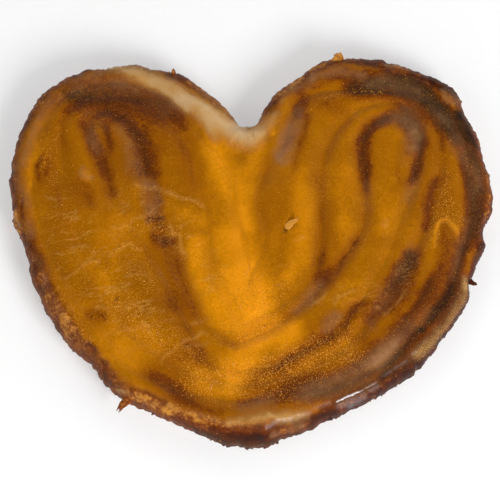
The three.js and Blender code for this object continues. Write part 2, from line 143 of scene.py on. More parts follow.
# Fold lines. Each runs once round the heart: up the inside of the right lobe (leg), over it (arch), down its
# outside (flank) to the tip, then the same stretches of the left lobe backwards. [x, y, depth of the crease]
foldLines = {
    "rim": {
        "start": [0, -4, 0],
        "rightLeg": [[-1, 35, 0]],
        "rightArch": [[0.9, 35.4], [3, 38.4], [5, 42.3], [8, 46.2], [12, 48.9], [18.2, 53.1], [21.6, 55],
                      [28, 55.5], [34.3, 55.3], [39, 54.4], [44.2, 52.4], [49.8, 50], [56.3, 46.5],
                      [58.6, 43.2], [59.7, 38.8], [62.8, 31], [63.8, 26.2]],
        "rightFlank": [[65.3, 21], [65.9, 11], [63.4, 6.3], [63.2, 0.8], [59.2, -9], [58, -15],
                       [54.6, -20.2], [48.7, -28], [46.3, -31.4], [38, -37.7], [33.4, -40.5], [22, -46],
                       [12.2, -50.3], [2.5, -53.5], [-2.2, -53.9]],
        "leftFlank": [[-6.6, -53], [-15.9, -48.9], [-28.6, -43.3], [-36.9, -38.2], [-42.6, -31.2],
                      [-47.3, -27.1], [-54.3, -17.3], [-58.5, -7.7], [-60.6, -0.3], [-64, 7.6],
                      [-64.6, 14], [-65.7, 17.5], [-65.4, 23.8], [-64.3, 30.8]],
        "leftArch": [[-61.5, 38.3], [-59.2, 42.3], [-55, 46.7], [-46, 51.6], [-39.8, 52.2], [-36.8, 53.3],
                     [-30.2, 53.2], [-19, 50.3], [-9.1, 43.2], [-4.2, 37.6], [-2.7, 35.4], [-1, 35]],
        "leftLeg": [[0, -4]],
    },
    "outer": {
        "start": [0.1, -9, 0.3],
        "rightLeg": [[4, 2, 0.5], [2, 11, 0.6], [4.5, 20, 0.6], [8.5, 27, 0.9]],
        "rightArch": [[10, 33, 1], [13, 41, 1], [19, 43.6, 0.6], [27, 44.2, 1], [36, 44, 1.2],
                      [44, 43.5, 1.1], [51, 40.5, 1.1], [57, 32, 0.9], [59, 24, 0.9]],
        "rightFlank": [[59.4, 12, 1.2], [57, -1, 1.2], [53.5, -10.4, 1], [48.5, -18, 1], [42.5, -26, 1.2],
                       [35, -32.5, 1], [23, -38, 0.9], [10, -41, 0.8], [-4, -43, 0.8]],
        "leftFlank": [[-19, -39.5, 1.2], [-29, -35, 0.9], [-38, -28, 0.8], [-44.5, -20.5, 0.9],
                      [-50.5, -11, 0.9], [-55, 0, 1], [-58.3, 12, 1], [-59.5, 22, 0.9], [-58, 31, 0.8]],
        "leftArch": [[-52, 41, 1.2], [-44, 45, 1.2], [-33, 46.4, 1], [-25, 43.5, 1], [-19, 38.5, 1],
                     [-13, 31, 0.8], [-8, 25, 0.6]],
        "leftLeg": [[-5, 19, 0.5], [-4.5, 12, 0.5], [-3, 3, 0.4], [0.1, -9, 0.3]],
    },
    "middle": {
        "start": [-2, -22, 0.3],
        "rightLeg": [[7, -18, 0.5], [15.5, -11, 0.9], [18.4, -3, 1.1], [18.6, 10, 1.1], [19.5, 22, 1],
                     [20.5, 26.5, 1]],
        "rightArch": [[24, 33, 0.9], [30, 38.5, 0.8], [39, 40.5, 0.8], [47, 37.5, 0.9], [51, 29.5, 0.8],
                      [51.5, 21, 1]],
        "rightFlank": [[49.5, 14, 1.4], [48, 7, 1.4], [44, -1, 1.2], [38.5, -11, 1.2], [34, -18, 1.2],
                       [26, -27, 0.8], [15, -34, 0.8], [5, -37.5, 0.7], [-4, -38.8, 0.6]],
        "leftFlank": [[-16, -35, 0.7], [-27, -27.5, 0.6], [-36, -18, 0.6], [-42, -9, 0.5], [-46.5, 2, 0.5],
                      [-50, 14, 0.5], [-51.6, 28, 0.7]],
        "leftArch": [[-51, 35, 0.8], [-47, 40.5, 1], [-40, 42.5, 1.1], [-31, 41.5, 1], [-24, 37, 0.9],
                     [-19, 31.5, 0.7], [-16, 26, 0.6]],
        "leftLeg": [[-13, 15, 0.5], [-11.5, 3, 0.4], [-9, -9, 0.4], [-2, -22, 0.3]],
    },
    "inner": {
        "start": [-3, -27.5, 0.6],
        "rightLeg": [[4, -24.5, 0.7], [10, -20.3, 1], [15.5, -15.5, 1.1], [20.5, -9.5, 1], [25.5, -3.2, 0.9],
                     [29, 2, 0.8], [31, 9, 0.8], [30.5, 18, 1.3], [30, 26, 1.5]],
        "rightArch": [[31, 32.5, 1.5], [34.5, 35.8, 1.4], [40.5, 36.8, 1.2], [45, 34.5, 1.1], [46.6, 29, 1],
                      [46, 23, 1.2]],
        "rightFlank": [[44.3, 16, 1.3], [41.5, 10, 0.8], [38, 0, 0.5], [33, -10, 0.6], [27.5, -18, 1],
                       [20, -25.5, 1], [12.5, -30, 1], [5, -33.5, 0.8], [-4, -35, 0.6]],
        "leftFlank": [[-10.5, -32.5, 0.8], [-15, -27, 0.8], [-19, -20, 0.8], [-24, -11, 0.8], [-29, -2, 0.6],
                      [-34, 7, 0.5], [-37.2, 14, 0.9], [-39.5, 22.5, 1.2], [-43, 29.5, 1.2]],
        "leftArch": [[-44.5, 35, 1.1], [-41, 38.5, 1.1], [-37, 37.5, 1.2], [-33, 33.5, 1.5],
                     [-29.8, 28, 1.6]],
        "leftLeg": [[-27.8, 20, 1.5], [-26.5, 11, 1], [-23, 2, 1.1], [-19.5, -6, 1.1], [-15.5, -14.5, 1],
                    [-11.5, -22, 1], [-3, -27.5, 0.6]],
    },
}
# The innermost line, from the bend above the tip up to its end in each lobe.
coreRight = [[-3.5, -31.2], [8, -26.8], [17.5, -20], [25, -12], [31.5, -2.5], [35.8, 6],
             [37.8, 15], [38.4, 25]]
coreLeft = [[-3.5, -31.2], [-11, -27.5], [-15.8, -20.5], [-21, -10.5], [-25.5, -1.5], [-30, 7], [-33.5, 15],
            [-36, 23], [-38.5, 30]]

pastrySizes = {
    "topHeight": 12.6, "bellyHeight": 6.2, "shoulderWidth": 5.2, "shoulderPower": 2.1,
    "creaseWidth": 1.9, "crownHeight": 0.55, "wideFold": 12, "quietShare": 0.25,
    "slitSwell": 0.4, "coreSwell": 0.8, "coreHalfWidth": 0.9, "coreTaper": 0.12,
    "creaseFill": 0.45,  # share of a crease's depth left by the glaze that runs into it
    "swayHeight": 0.45,
    "swayWaves": [(0.6, 0.071, 0.083, 0.4), (0.4, 0.16, -0.12, 2.1)],  # strength, rate in x and in y, start
    "coarse": {"leg": 14, "arch": 36, "flank": 44},  # steps that noise along the rim is measured in
    "stepLength": 2.1,
    "crumble": 0.5,  # how far the rim's ragged outline strays
    "rimWaves": [(0.6, 0.9, 0, rimSeed), (0.4, 0.37, 50, rimSeed)],  # strength, cells per step, start, seed
    "rimTeeth": [(0.22, 3.7, 11, 7), (0.14, 8.3, 5, 8)],
    "streaks": [(0.6, 1.7, 17, 131), (0.4, 0.8, 8, 141)],  # strength, size across and along a fold, seed
    "fine": {"leg": 70, "arch": 160, "flank": 210},  # faces along each stretch
    "topRows": [24, 18, 18, 13],  # faces across each band, from the rim to the core
    "undersideRows": [5, 4, 4, 3],
    "crowding": 1.35,  # power that gathers rows at the rim
    "undersideCrease": 0.45, "creaseShare": 0.3,  # height of the underside's creases, and share of a band
    "grains": [(0.07, 2.2, 61), (0.12, 5.0, 71)],  # fine unevenness of the top: height, size, seed
    "wallRows": 15,
    "wallSection": [[0, 6.2, 0], [0.15, 3.6, 0.3], [0.75, 1.1, 0.25], [1.9, 0, 0]],  # inset, height, ragged
    "blister": 0.3,  # small lumps on the wall, less and less below footHeight
    "footHeight": 1.2,
    "wallSlow": {"share": 0.5, "perStep": 0.8, "perHeight": 0.2},  # slow raggedness along the rim and up it
    "wallLumps": {"share": 0.5, "rate": 0.9, "seed": 23},
    "wallSheets": {
        "share": 0.6, "perHeight": 0.75, "wander": 0.5, "alongRate": 0.25, "seed": 29, "lumps": 0.2,
    },
}
stretches = ["rightLeg", "rightArch", "rightFlank", "leftFlank", "leftArch", "leftLeg"]


def stretchKind(stretch):
    return "leg" if stretch.endswith("Leg") else "arch" if stretch.endswith("Arch") else "flank"


# Fine position round the line, counted in the coarse steps.
def coarsePlaces(sizes):
    places = []
    for k, stretch in enumerate(stretches):
        kind = stretchKind(stretch)
        before = sum(sizes["coarse"][stretchKind(s)] for s in stretches[:k])
        places.append(before + np.arange(sizes["fine"][kind]) / sizes["fine"][kind] * sizes["coarse"][kind])
    return np.concatenate(places)


# One fold line at equal steps of length within each stretch: x, y and the crease's depth.
def sampleLine(name, sizes):
    line = foldLines[name]
    samples = []
    start = [line["start"]]
    for stretch in stretches:
        own = start + [list(point) + [0] * (3 - len(point)) for point in line[stretch]]
        count = sizes["fine"][stretchKind(stretch)]
        shares = np.arange(count) / count
        if name == "rim" and stretchKind(stretch) == "leg":
            ends = np.array(own, float)
            samples.append(ends[0] + shares[:, None] * (ends[-1] - ends[0]))
        else:
            samples.append(curveThrough(own, shares))
        start = [own[-1]]
    return np.concatenate(samples)


# The core, its inner side on legs and its outer side on flanks, a taper's width apart; its ends on arches.
def sampleCore(sizes):
    nudge = 1e-3  # share of the line before and after a point that gives its heading

    def side(points, shares, sign):
        ahead = curveThrough(points, np.clip(shares + nudge, 0, 1))
        ahead = ahead - curveThrough(points, np.clip(shares - nudge, 0, 1))
        ahead /= np.linalg.norm(ahead, axis=1, keepdims=True)
        width = sign * sizes["coreHalfWidth"] * np.minimum(1, (1 - shares) / sizes["coreTaper"])
        return curveThrough(points, shares) + np.stack([-ahead[:, 1], ahead[:, 0]], axis=1) * width[:, None]

    leg, arch, flank = (np.arange(sizes["fine"][k]) / sizes["fine"][k] for k in ("leg", "arch", "flank"))
    flat = np.concatenate([
        side(coreRight, leg, 1), np.tile(coreRight[-1], (len(arch), 1)), side(coreRight, 1 - flank, -1),
        side(coreLeft, flank, 1), np.tile(coreLeft[-1], (len(arch), 1)), side(coreLeft, 1 - leg, -1),
    ])
    return np.hstack([flat, np.zeros((len(flat), 1))])


# The rim moved along its outward normal by noise: the crumbly outline, none of it on the slit.
def roughenRim(rim, places, sizes):
    along = np.roll(rim, -1, axis=0) - np.roll(rim, 1, axis=0)
    out = np.stack([-along[:, 1], along[:, 0]], axis=1)
    out /= np.maximum(np.linalg.norm(out, axis=1, keepdims=True), tiny)
    legs = sizes["fine"]["leg"]
    free = np.ones(len(rim))
    free[:legs + 1] = 0
    free[len(rim) - legs:] = 0
    strayed = sizes["crumble"] * waves(places, sizes["rimWaves"]) + waves(places, sizes["rimTeeth"])
    moved = rim.copy()
    moved[:, :2] += out * (strayed * free)[:, None]
    return moved


# Least distance to any segment of a line, for a chunk of points at a time.
def distanceToLine(points, line, chunk=4000):
    start, step = line[:-1], np.diff(line, axis=0)
    squared = np.maximum((step ** 2).sum(axis=1), tinySquare)
    least = np.empty(len(points))
    for first in range(0, len(points), chunk):
        away = points[first:first + chunk, None, :] - start[None]
        share = np.clip((away * step[None]).sum(axis=2) / squared, 0, 1)
        away -= share[:, :, None] * step[None]
        least[first:first + chunk] = np.sqrt((away ** 2).sum(axis=2).min(axis=1))
    return least


# Shoulder: a rounded quarter from the belly up to the top, then level.
def shoulder(distance, sizes):
    inward = 1 - np.minimum(1, distance / sizes["shoulderWidth"])
    rise = (1 - inward ** sizes["shoulderPower"]) ** (1 / sizes["shoulderPower"])
    return sizes["bellyHeight"] + (sizes["topHeight"] - sizes["bellyHeight"]) * rise


# Slow rise and fall over the whole top: two crossing sine waves.
def sway(x, y, sizes):
    return sizes["swayHeight"] * sum(
        strength * np.sin(x * rateX + y * rateY + start)
        for strength, rateX, rateY, start in sizes["swayWaves"]
    )


# Between two fold lines: a crown that swells in the middle, less the two bell-shaped valleys at its sides.
def relief(lines, band, share, sizes):
    start, end = lines[band], lines[band + 1]
    around = len(start)
    legs = sizes["fine"]["leg"]
    width = np.hypot(*(end - start)[:, :2].T)
    lastBand = band == len(lines) - 2
    onSlit = (np.arange(around) < legs) | (np.arange(around) > around - legs)
    onSlit = onSlit if band == 0 else np.zeros(around, bool)
    startQuiet = min(1, (1 - share) / sizes["quietShare"]) if lastBand else 1
    endQuiet = min(1, share / sizes["quietShare"]) if band == 0 else 1
    swell = np.where(onSlit, math.sin(math.pi * (1 + share) / 2), math.sin(math.pi * share))
    wideness = np.where(onSlit, sizes["slitSwell"], np.minimum(1, width / sizes["wideFold"]))
    if lastBand:
        swell, wideness = math.sin(math.pi * share / 2), sizes["coreSwell"]
    valley = lambda depth, distance: -depth * np.exp(-(distance / sizes["creaseWidth"]) ** 2)
    crown = sizes["crownHeight"] * wideness * swell
    startValley = valley(sizes["creaseFill"] * start[:, 2] * startQuiet, share * width)
    return crown + startValley + valley(sizes["creaseFill"] * end[:, 2] * endQuiet, (1 - share) * width)


# Streaks that run along the folds: noise drawn out tenfold along them, from the distance across the rows.
def foldStreaks(rows, places, sizes):
    gaps = np.linalg.norm(np.diff(rows, axis=0), axis=2)
    across = np.vstack([np.zeros(rows.shape[1]), np.cumsum(gaps, axis=0)])
    along = np.broadcast_to(places * sizes["stepLength"], across.shape)
    return sum(
        strength * noise2(across / wide, along / long, seed)
        for strength, wide, long, seed in sizes["streaks"]
    )


# Rows of points from the rim to the core, each a blend of two fold lines, with its band and its share of it.
def planRows(lines, rowCounts, crowding):
    rows, bands, shares = [], [], []
    for band, count in enumerate(rowCounts):
        for k in range(count):
            share = (k / count) ** (crowding if band == 0 else 1.0)
            rows.append(lines[band][:, :2] * (1 - share) + lines[band + 1][:, :2] * share)
            bands.append(band)
            shares.append(share)
    rows.append(lines[-1][:, :2])
    return np.array(rows), bands + [len(rowCounts) - 1], shares + [1.0]


# Quads between rows of vertex numbers, rings or open rows, facing up or down.
def rowFaces(ids, closed, up):
    nextIds = np.roll(ids, -1, axis=1)
    quads = np.stack([ids[:-1], ids[1:], nextIds[1:], nextIds[:-1]], axis=-1)
    if not closed:
        quads = quads[:, :-1]
    quads = quads.reshape(-1, 4)
    return quads if up else quads[:, ::-1]


# Triangles that close the gap between the core's two sides, stepping along both in turn.
def zipCore(ring, sizes, up):
    around = len(ring)
    leg, arch = sizes["fine"]["leg"], sizes["fine"]["arch"]
    inside = ring[np.arange(around - leg, around + leg + 1) % around]
    outside = ring[np.arange(around - leg - arch, leg + arch - 1, -1)]
    k, m = np.arange(len(inside) - 1), np.arange(len(outside) - 1)
    # edge middles in the same whole units
    insideMids, outsideMids = (2 * k + 1) * len(m), (2 * m + 1) * len(k)
    passed = np.searchsorted(outsideMids, insideMids, side="right")
    first = np.stack([inside[k], outside[passed], inside[k + 1]], axis=1)
    passed = np.searchsorted(insideMids, outsideMids, side="left")
    second = np.stack([inside[passed], outside[m], outside[m + 1]], axis=1)
    faces = np.vstack([first, second])
    return faces if up else faces[:, ::-1]


# A mesh object from millimetre points and faces, in metres about the pastry's middle.
def makeMesh(name, points, faceGroups, material, smoothShade=True):
    mesh = bpy.data.meshes.new(name)
    faces = []
    for group in faceGroups:
        faces.extend(group.tolist())
    mesh.from_pydata(((points - middle) * metre).tolist(), [], faces)
    mesh.validate()
    if smoothShade:
        mesh.shade_smooth()
    else:
        mesh.shade_flat()
    piece = bpy.data.objects.new(name, mesh)
    bpy.context.scene.collection.objects.link(piece)
    mesh.materials.append(material)
    return piece


# One number at every vertex, which a material reads by its name.
def setAttribute(piece, name, values):
    layer = piece.data.attributes.new(name, "FLOAT", "POINT")
    layer.data.foreach_set("value", np.asarray(values, np.float32))


# Where a point's slanted line of sight meets the drawing's level, so that marks drawn flat on it run over
# the shoulder without a break.
def slanted(points):
    share = (viewer[2] - drawingLevel) / (viewer[2] - points[:, 2])
    return viewer[:2] + (points[:, :2] - viewer[:2]) * share[:, None]


# Strength of a brush stroke at each place: full within its width, fading over its softness.
# path points are (x, y, width).
def strokeMask(places, soft, path):
    path = np.asarray(path, float)
    if len(path) > 1:
        shares = np.linspace(0, 1, brush["parts"] * (len(path) - 1) + 1)
        path = curveThrough(path, shares, brush["finest"])
    else:
        path = np.vstack([path, path + [brush["dab"], 0, 0]])
    reach = path[:, 2].max() / 2 + soft
    low, high = path[:, :2].min(axis=0) - reach, path[:, :2].max(axis=0) + reach
    near = np.flatnonzero(((places > low) & (places < high)).all(axis=1))
    mask = np.zeros(len(places))
    if len(near) == 0:
        return mask
    start, step = path[:-1], np.diff(path, axis=0)
    squared = np.maximum((step[:, :2] ** 2).sum(axis=1), tinySquare)
    away = places[near][:, None, :] - start[None, :, :2]
    share = np.clip((away * step[None, :, :2]).sum(axis=2) / squared, 0, 1)
    away -= share[:, :, None] * step[None, :, :2]
    halfWidth = (start[None, :, 2] + share * step[None, :, 2]) / 2
    edge = (np.sqrt((away ** 2).sum(axis=2)) - halfWidth).min(axis=1)
    mask[near] = smooth(np.clip(0.5 - edge / (2 * soft), 0, 1))
    return mask


# Strokes laid over one another: each leaves the share that the ones before it left.
def paint(places, strokes, softer=1.0):
    left = np.ones(len(places))
    for strength, soft, path in strokes:
        left *= 1 - strength * strokeMask(places, soft * softer, path)
    return 1 - left


# Height of the raised marks less the depth of the sunken ones.
def ridges(places, strokes):
    return sum(height * strokeMask(places, soft, path) for height, soft, path in strokes)


# Places moved by noise in x and by noise from elsewhere in y, so that strokes bend.
def wobble(places, size, amount, seed):
    x, y = places.T
    moveX = roughness2(x, y, size, seed)
    moveY = roughness2(x + elsewhere[0], y + elsewhere[1], size, seed + elsewhere[2])
    return places + amount * np.stack([moveX, moveY], axis=1)


def wobbleTwice(places, wide, fine):
    return wobble(wobble(places, *wide), *fine)


# Strokes on the top, (strength, softness, path). Browned seams between the folds and darker patches, and one
# stroke of painted shade on the front right shoulder.
toastAndShadeStrokes = [
    # right lobe: the finger by the notch, then the seams from left to right
    (0.5, 0.8, [(14.4, 42.4, 2.6), (13.2, 39.8, 4), (12.8, 37.4, 3)]),
    (0.22, 0.9, [(12.4, 36.5, 4.4), (11.5, 33, 5.4), (10.2, 29.5, 5)]),
    (0.1, 0.9, [(9.4, 28, 5), (8.8, 26, 5)]),
    (0.33, 0.7, [(15.3, 40, 1.2), (15.6, 35, 1.6), (14.6, 31, 1.6), (13.3, 27.5, 1.8), (12.5, 24, 1.4),
        (12.2, 21.5, 0.6)]),
    (0.16, 1.2, [(5.4, 24.5, 1.4), (4.6, 21, 1.8), (2.9, 17, 1.8), (1.8, 13.5, 1.8), (2.2, 10, 1.8),
        (3.4, 7, 1.5), (3.6, 3.5, 1)]),
    (0.24, 1.2, [(27, 34.8, 1), (23.6, 31.5, 2.2), (21.6, 28, 2.4), (20.3, 24.5, 2.4), (19.2, 21, 2.2),
        (18.8, 17, 2.4)]),
    (0.24, 1.3, [(18.9, 17, 1.6), (18.8, 12, 2.4), (19, 6, 2.8), (18.8, 0, 3), (18.6, -4, 3.6)]),
    (0.3, 1.4, [(18.4, -4, 2.6), (18.2, -7, 4), (19.6, -9.5, 5.4), (18.6, -11.5, 4)]),
    (0.2, 1.2, [(21, -8, 3), (18.4, -12.4, 3.6), (15, -15.4, 3)]),
    (0.66, 1.0, [(38, 35.9, 1), (34.8, 34.2, 3), (32.2, 32, 3.8), (31, 29, 4.2), (30.8, 25, 4.2),
        (31.2, 21, 3.8), (31.2, 17.5, 2.8), (31.4, 15, 1)]),
    (0.24, 1.1, [(31.6, 14.5, 2.2), (31.3, 9, 1.8), (30.4, 4.5, 1.5), (28.6, 1, 1.8)]),
    (0.34, 1.3, [(28.2, 0.4, 1.2), (26.4, -2.6, 2.2), (24.4, -5.2, 3), (22, -7.6, 4), (20, -9.6, 4.4)]),
    (0.62, 0.8, [(45.6, 34.5, 1), (45.8, 30, 1.6), (45.8, 26.5, 1.8), (45.3, 23.5, 2.4), (44.6, 20.5, 2.6),
        (43.4, 17.6, 2)]),
    (0.4, 0.8, [(45.4, 23.5, 1), (44.8, 21, 1.6), (43.8, 18.6, 1.2)]),
    (0.2, 0.8, [(44.6, 25, 0.5), (42.4, 25.6, 0.6), (40.6, 23.6, 0.7), (40, 20.6, 0.7), (40.8, 17.6, 0.8),
        (42.4, 16, 0.8), (44, 17, 0.6)]),
    (0.64, 0.8, [(49.8, 18, 1), (49, 15.4, 2.4), (48.2, 12.5, 2.8), (47.8, 9.5, 2.4), (47.2, 6.5, 2.2),
        (46.4, 3.8, 1.4)]),
    (0.24, 1.6, [(46.4, 3.5, 1.4), (45, 0, 2.8), (43.6, -2.6, 3.8)]),
    (0.6, 1.4, [(43, -3.6, 2.6), (41.2, -6.4, 4), (39.4, -9.4, 4.4), (37.4, -12.5, 4.6), (35.6, -15.3, 4),
        (33.6, -18.2, 3), (31.8, -20.8, 2.2)]),
    (0.66, 0.9, [(50.3, -6, 0.8), (49.2, -8.5, 1.3), (47.5, -11, 2.2), (46.3, -13.6, 2.6), (44.8, -16, 2),
        (43.2, -18.6, 1.6), (41.2, -21, 1)]),
    (0.5, 1.0, [(33, -15.6, 1), (28.7, -17.2, 2.2), (26.8, -19.6, 2.8), (25, -22.6, 2)]),
    (0.32, 1.6, [(21.5, -25.8, 2.6), (17, -28.3, 3.4), (13.6, -30.4, 2.6), (10.4, -32.1, 3),
        (8, -33.8, 1.6)]),
    (0.3, 0.9, [(11.5, -31.4, 1), (9.2, -32.8, 1.8), (7.4, -34.2, 0.8)]),
    (0.26, 1.8, [(6, -35.2, 2.2), (2.5, -36.4, 2), (0, -38.2, 2.4), (6, -38.6, 2), (11, -36.6, 2)]),
    (0.5, 1.5, [(29, -38.6, 2), (24, -39.6, 3), (18.6, -40, 4), (13, -39.2, 4), (8, -40.8, 3.4),
        (3, -42.2, 3.4), (-2, -43.4, 2)]),
    # right edge: the dark line inside the rim
    (0.72, 1.2, [(57.4, 24, 1), (58.6, 18, 2.2), (59.6, 12, 3.6), (59.8, 7, 4), (58.8, 2, 3.6),
        (57.4, -1.6, 2.4)]),
    (0.85, 0.9, [(57.2, -2, 1.6), (55.8, -6, 2), (54.4, -9.6, 2), (53, -13, 2.6), (51, -16.6, 2.8),
        (48.8, -19.6, 2.6), (46.2, -22.4, 2.2), (43.6, -25.2, 2), (41, -28.2, 1.8), (38.4, -31.2, 1.8),
        (36.4, -34.2, 1.6), (34.6, -37, 1.8)]),
    (0.34, 2.2, [(52.5, -2, 3), (51.5, -7, 4), (49, -12, 4), (46, -18, 4)]),
    (0.3, 2.4, [(47, -14, 4), (44, -20, 6), (39, -27, 7), (33, -33, 7), (26, -37, 6), (18, -38, 5)]),
    (0.3, 1.6, [(47, -26, 3), (43, -31, 4), (38, -36, 4), (31, -41, 3.4), (22, -44.6, 3), (14, -47, 2)]),
    (0.22, 2.4, [(49, 28, 6), (51, 20, 6), (51, 12, 6)]), (0.14, 2.0, [(44, 26, 5), (44, 18, 4)]),
    (0.46, 1.4, [(43, 35, 3), (44.8, 32, 4), (44.8, 28, 3.4)]), (0.34, 0.9, [(52.6, 4, 3), (52.6, 1, 3)]),
    (0.7, 1.4, [(35.6, 35.4, 2), (39.6, 36.8, 4), (43.6, 35.4, 6), (45.6, 31.4, 4), (46, 28, 2)]),
    (0.44, 1.6, [(43.4, -4, 3), (42.4, -10, 4), (40, -15, 4), (37.6, -18, 3)]),
    (0.3, 2.0, [(41, -23, 3), (37, -28.6, 4), (31, -33.4, 4.4), (24, -37, 4), (15, -39.6, 4), (8, -41, 3)]),
    (0.34, 1.4, [(56, 1, 2), (54, -5, 3), (51.6, -11, 3), (48.6, -16, 3)]),
    # painted shade on the front right shoulder, which faces the key lamp
    (0.44, 1.2, [(51, -24, 3), (45.6, -30.6, 3.4), (40.4, -35, 3.4), (34.6, -39.4, 3.4), (27, -43, 3.4),
        (20, -45.6, 3)]),
    (0.16, 1.4, [(21.4, 12, 2), (22, 4, 2), (23.6, -3, 2), (23, -8, 2)]),
    (0.24, 1.6, [(60, 27, 4), (61, 20, 4), (60.6, 13, 4)]),
    (0.4, 2.0, [(33, 45.4, 3), (38, 46, 4), (44, 44.4, 4)]), (0.3, 1.6, [(60.6, 25, 3), (60.6, 19, 3)]),
    (0.36, 1.6, [(42, -4, 3), (40, -8, 4), (38, -12, 3)]), (0.2, 1.6, [(33, -31.6, 3), (28, -34, 3)]),
    (0.24, 1.6, [(13, 44, 3), (20, 40, 4), (26, 37, 3)]),
    (0.22, 2.4, [(-19, -41, 4), (-10, -44.6, 4), (0, -46, 4), (8, -43.6, 5), (15, -40.6, 5)]),
    (0.26, 2.0, [(2, -36, 3), (10, -33, 4), (16, -29, 3)]),
    (0.5, 1.4, [(12, 44.4, 3), (17, 47, 3.6), (24, 49, 4), (31, 49, 3)]),
    (0.64, 2.0, [(28, 44.8, 4), (36, 46, 6.4), (44, 44.6, 7.4), (50, 40.6, 7.4), (54.4, 35, 6),
        (57, 29, 4)]),
    (0.36, 1.6, [(40, -22, 4), (36, -28, 6), (30, -34, 6), (23, -37.6, 5), (16, -40.4, 4)]),
    (0.2, 2.0, [(52, -20, 4), (48, -26, 6), (42, -31, 5)]),
    (0.22, 2.0, [(22, 42, 3), (30, 42.4, 3), (40, 42, 3.4), (46, 39.4, 3.4), (49, 35, 3)]),
    # left lobe: the seams from right to left
    (0.3, 1.4, [(-24.6, 41, 3), (-21.4, 38.4, 4), (-19, 34.6, 3)]),
    (0.4, 1.2, [(-28.6, 32, 2), (-26.8, 28, 2.4), (-25.8, 24, 2.4), (-25.2, 20, 2)]),
    (0.25, 1.6, [(-24, -1, 3), (-22.6, -6, 3.4), (-20.6, -12, 3.4), (-18.4, -17, 3)]),
    (0.34, 1.2, [(-57.8, 2, 2), (-56.2, -3, 3), (-54.2, -9, 3), (-52, -14, 2.6)]),
    (0.26, 1.2, [(-42, -20, 3), (-39, -21.4, 3)]),
    (0.24, 1.6, [(-42, -32.6, 2), (-37, -36.4, 2.4), (-32, -39, 2.4)]),
    (0.2, 1.8, [(-45.4, 17, 3), (-43, 12, 3)]), (0.16, 1.4, [(-53.6, 20, 2), (-53.6, 12, 2)]),
    (0.12, 1.0, [(-4.9, 25, 0.7), (-5.2, 21, 0.9), (-4.9, 14, 0.8), (-4.4, 10.5, 1.4), (-3.4, 6, 1.4),
        (-2, 2, 1.6)]),
    (0.72, 1.1, [(-37.4, 37.2, 0.6), (-34.4, 35.4, 2), (-32, 32.8, 2.8), (-30.4, 29.6, 3), (-29.2, 27, 3),
        (-28.6, 24.4, 3), (-28.2, 22, 2.8), (-28, 20.4, 2)]),
    (0.4, 1.3, [(-31.4, 27, 2), (-31, 23, 3), (-30.2, 19.6, 3)]),
    (0.3, 1.0, [(-27.2, 18.6, 4.6), (-26.2, 14.6, 6), (-25.8, 11, 6), (-25.8, 9, 5.2)]),
    (0.55, 0.5, [(-27.2, 6.4, 1.2), (-24.8, 6.7, 1.7), (-22.6, 7.1, 1)]),
    (0.4, 0.7, [(-25.2, 4.4, 1.6), (-23.5, 4.4, 2.2), (-22, 4.4, 1.2)]),
    (0.5, 0.7, [(-25.6, 2, 1.4), (-23.4, 1.2, 3.2), (-21, 0.8, 2.4)]),
    (0.28, 1.3, [(-21.4, -0.8, 2), (-20.2, -3.4, 3.4), (-19.4, -6.6, 3.8), (-18.8, -9.4, 3.4),
        (-17.8, -12, 2.8), (-16.6, -14.4, 3), (-15.2, -17, 3.6), (-13.8, -19.8, 2.8), (-12.8, -21.6, 1.4)]),
    (0.3, 2.2, [(-23.5, -13.5, 2), (-21, -17, 5), (-18, -21, 5), (-15.6, -24, 3)]),
    (0.2, 1.6, [(-27.4, -2, 2), (-26.4, -6.6, 2.8), (-25, -9.4, 2)]),
    (0.24, 1.6, [(-43.6, 33, 4), (-41, 27, 5), (-39, 21, 3)]),
    (0.5, 1.2, [(-45.8, 34, 1), (-44, 31, 3), (-42.8, 28, 3.4), (-41.4, 25, 3), (-39.9, 22, 2.8),
        (-38.7, 19.4, 2.8), (-37.8, 16.5, 2.4), (-37, 13.4, 2)]),
    (0.5, 0.8, [(-38.9, 33.2, 1.2), (-38.5, 30.5, 2), (-38, 28, 1.8), (-37.6, 25.6, 0.8)]),
    (0.22, 0.7, [(-51.4, 35.2, 0.9), (-51, 31, 1), (-50.4, 26.6, 1)]),
    (0.28, 0.9, [(-52.2, 15.6, 1.2), (-51.2, 12.6, 1.7), (-51, 10.6, 0.8)]),
    (0.36, 0.6, [(-56.8, 24.4, 0.6), (-57.6, 21.4, 1.1), (-57.6, 18, 0.7)]),
    (0.3, 0.6, [(-54.6, 23, 0.6), (-55.2, 19.4, 0.9)]),
    (0.36, 1.3, [(-55.2, 24.4, 2), (-55.8, 21, 3), (-56.8, 17.4, 2.4)]),
    (0.24, 2.0, [(-46.4, 16, 2.6), (-44, 13.6, 3.6), (-42.8, 10.6, 2.6)]),
    (0.16, 2.2, [(-50.2, 7, 2.4), (-48.4, 2.6, 3)]),
    # left lobe's arch
    (0.24, 2.4, [(-46, 40.4, 4), (-41, 41.6, 6), (-34, 41.4, 7), (-28, 39.4, 5)]),
    (0.34, 1.2, [(-50, 43.6, 2), (-54, 41, 3.4), (-56.8, 37.6, 2.6)]),
    (0.08, 1.2, [(-58, 36, 3.2), (-60.4, 30, 2.8), (-62, 23, 2.2)]),
    (0.36, 2.6, [(-49, 39, 5), (-43, 42, 8), (-35, 41.6, 10), (-27, 39.4, 9), (-21.4, 36, 6)]),
    (0.36, 1.4, [(-47, 45.4, 2.4), (-41, 45.6, 2.6), (-36, 44.4, 3.4), (-31, 43.2, 3.8), (-26.6, 42.4, 3.8),
        (-22.8, 40.6, 2.6)]),
    (0.36, 2.0, [(-44.6, 40, 4), (-38.6, 40.4, 4.4), (-32, 40.4, 4.4), (-26, 38.6, 4.4),
        (-21.8, 36.4, 3.4)]),
    (0.36, 2.0, [(-44, 36, 3), (-39.6, 36.6, 4), (-35, 36, 3)]),
    (0.14, 2.6, [(-36.6, 32, 8), (-34.6, 25, 8), (-33.4, 18, 6)]),
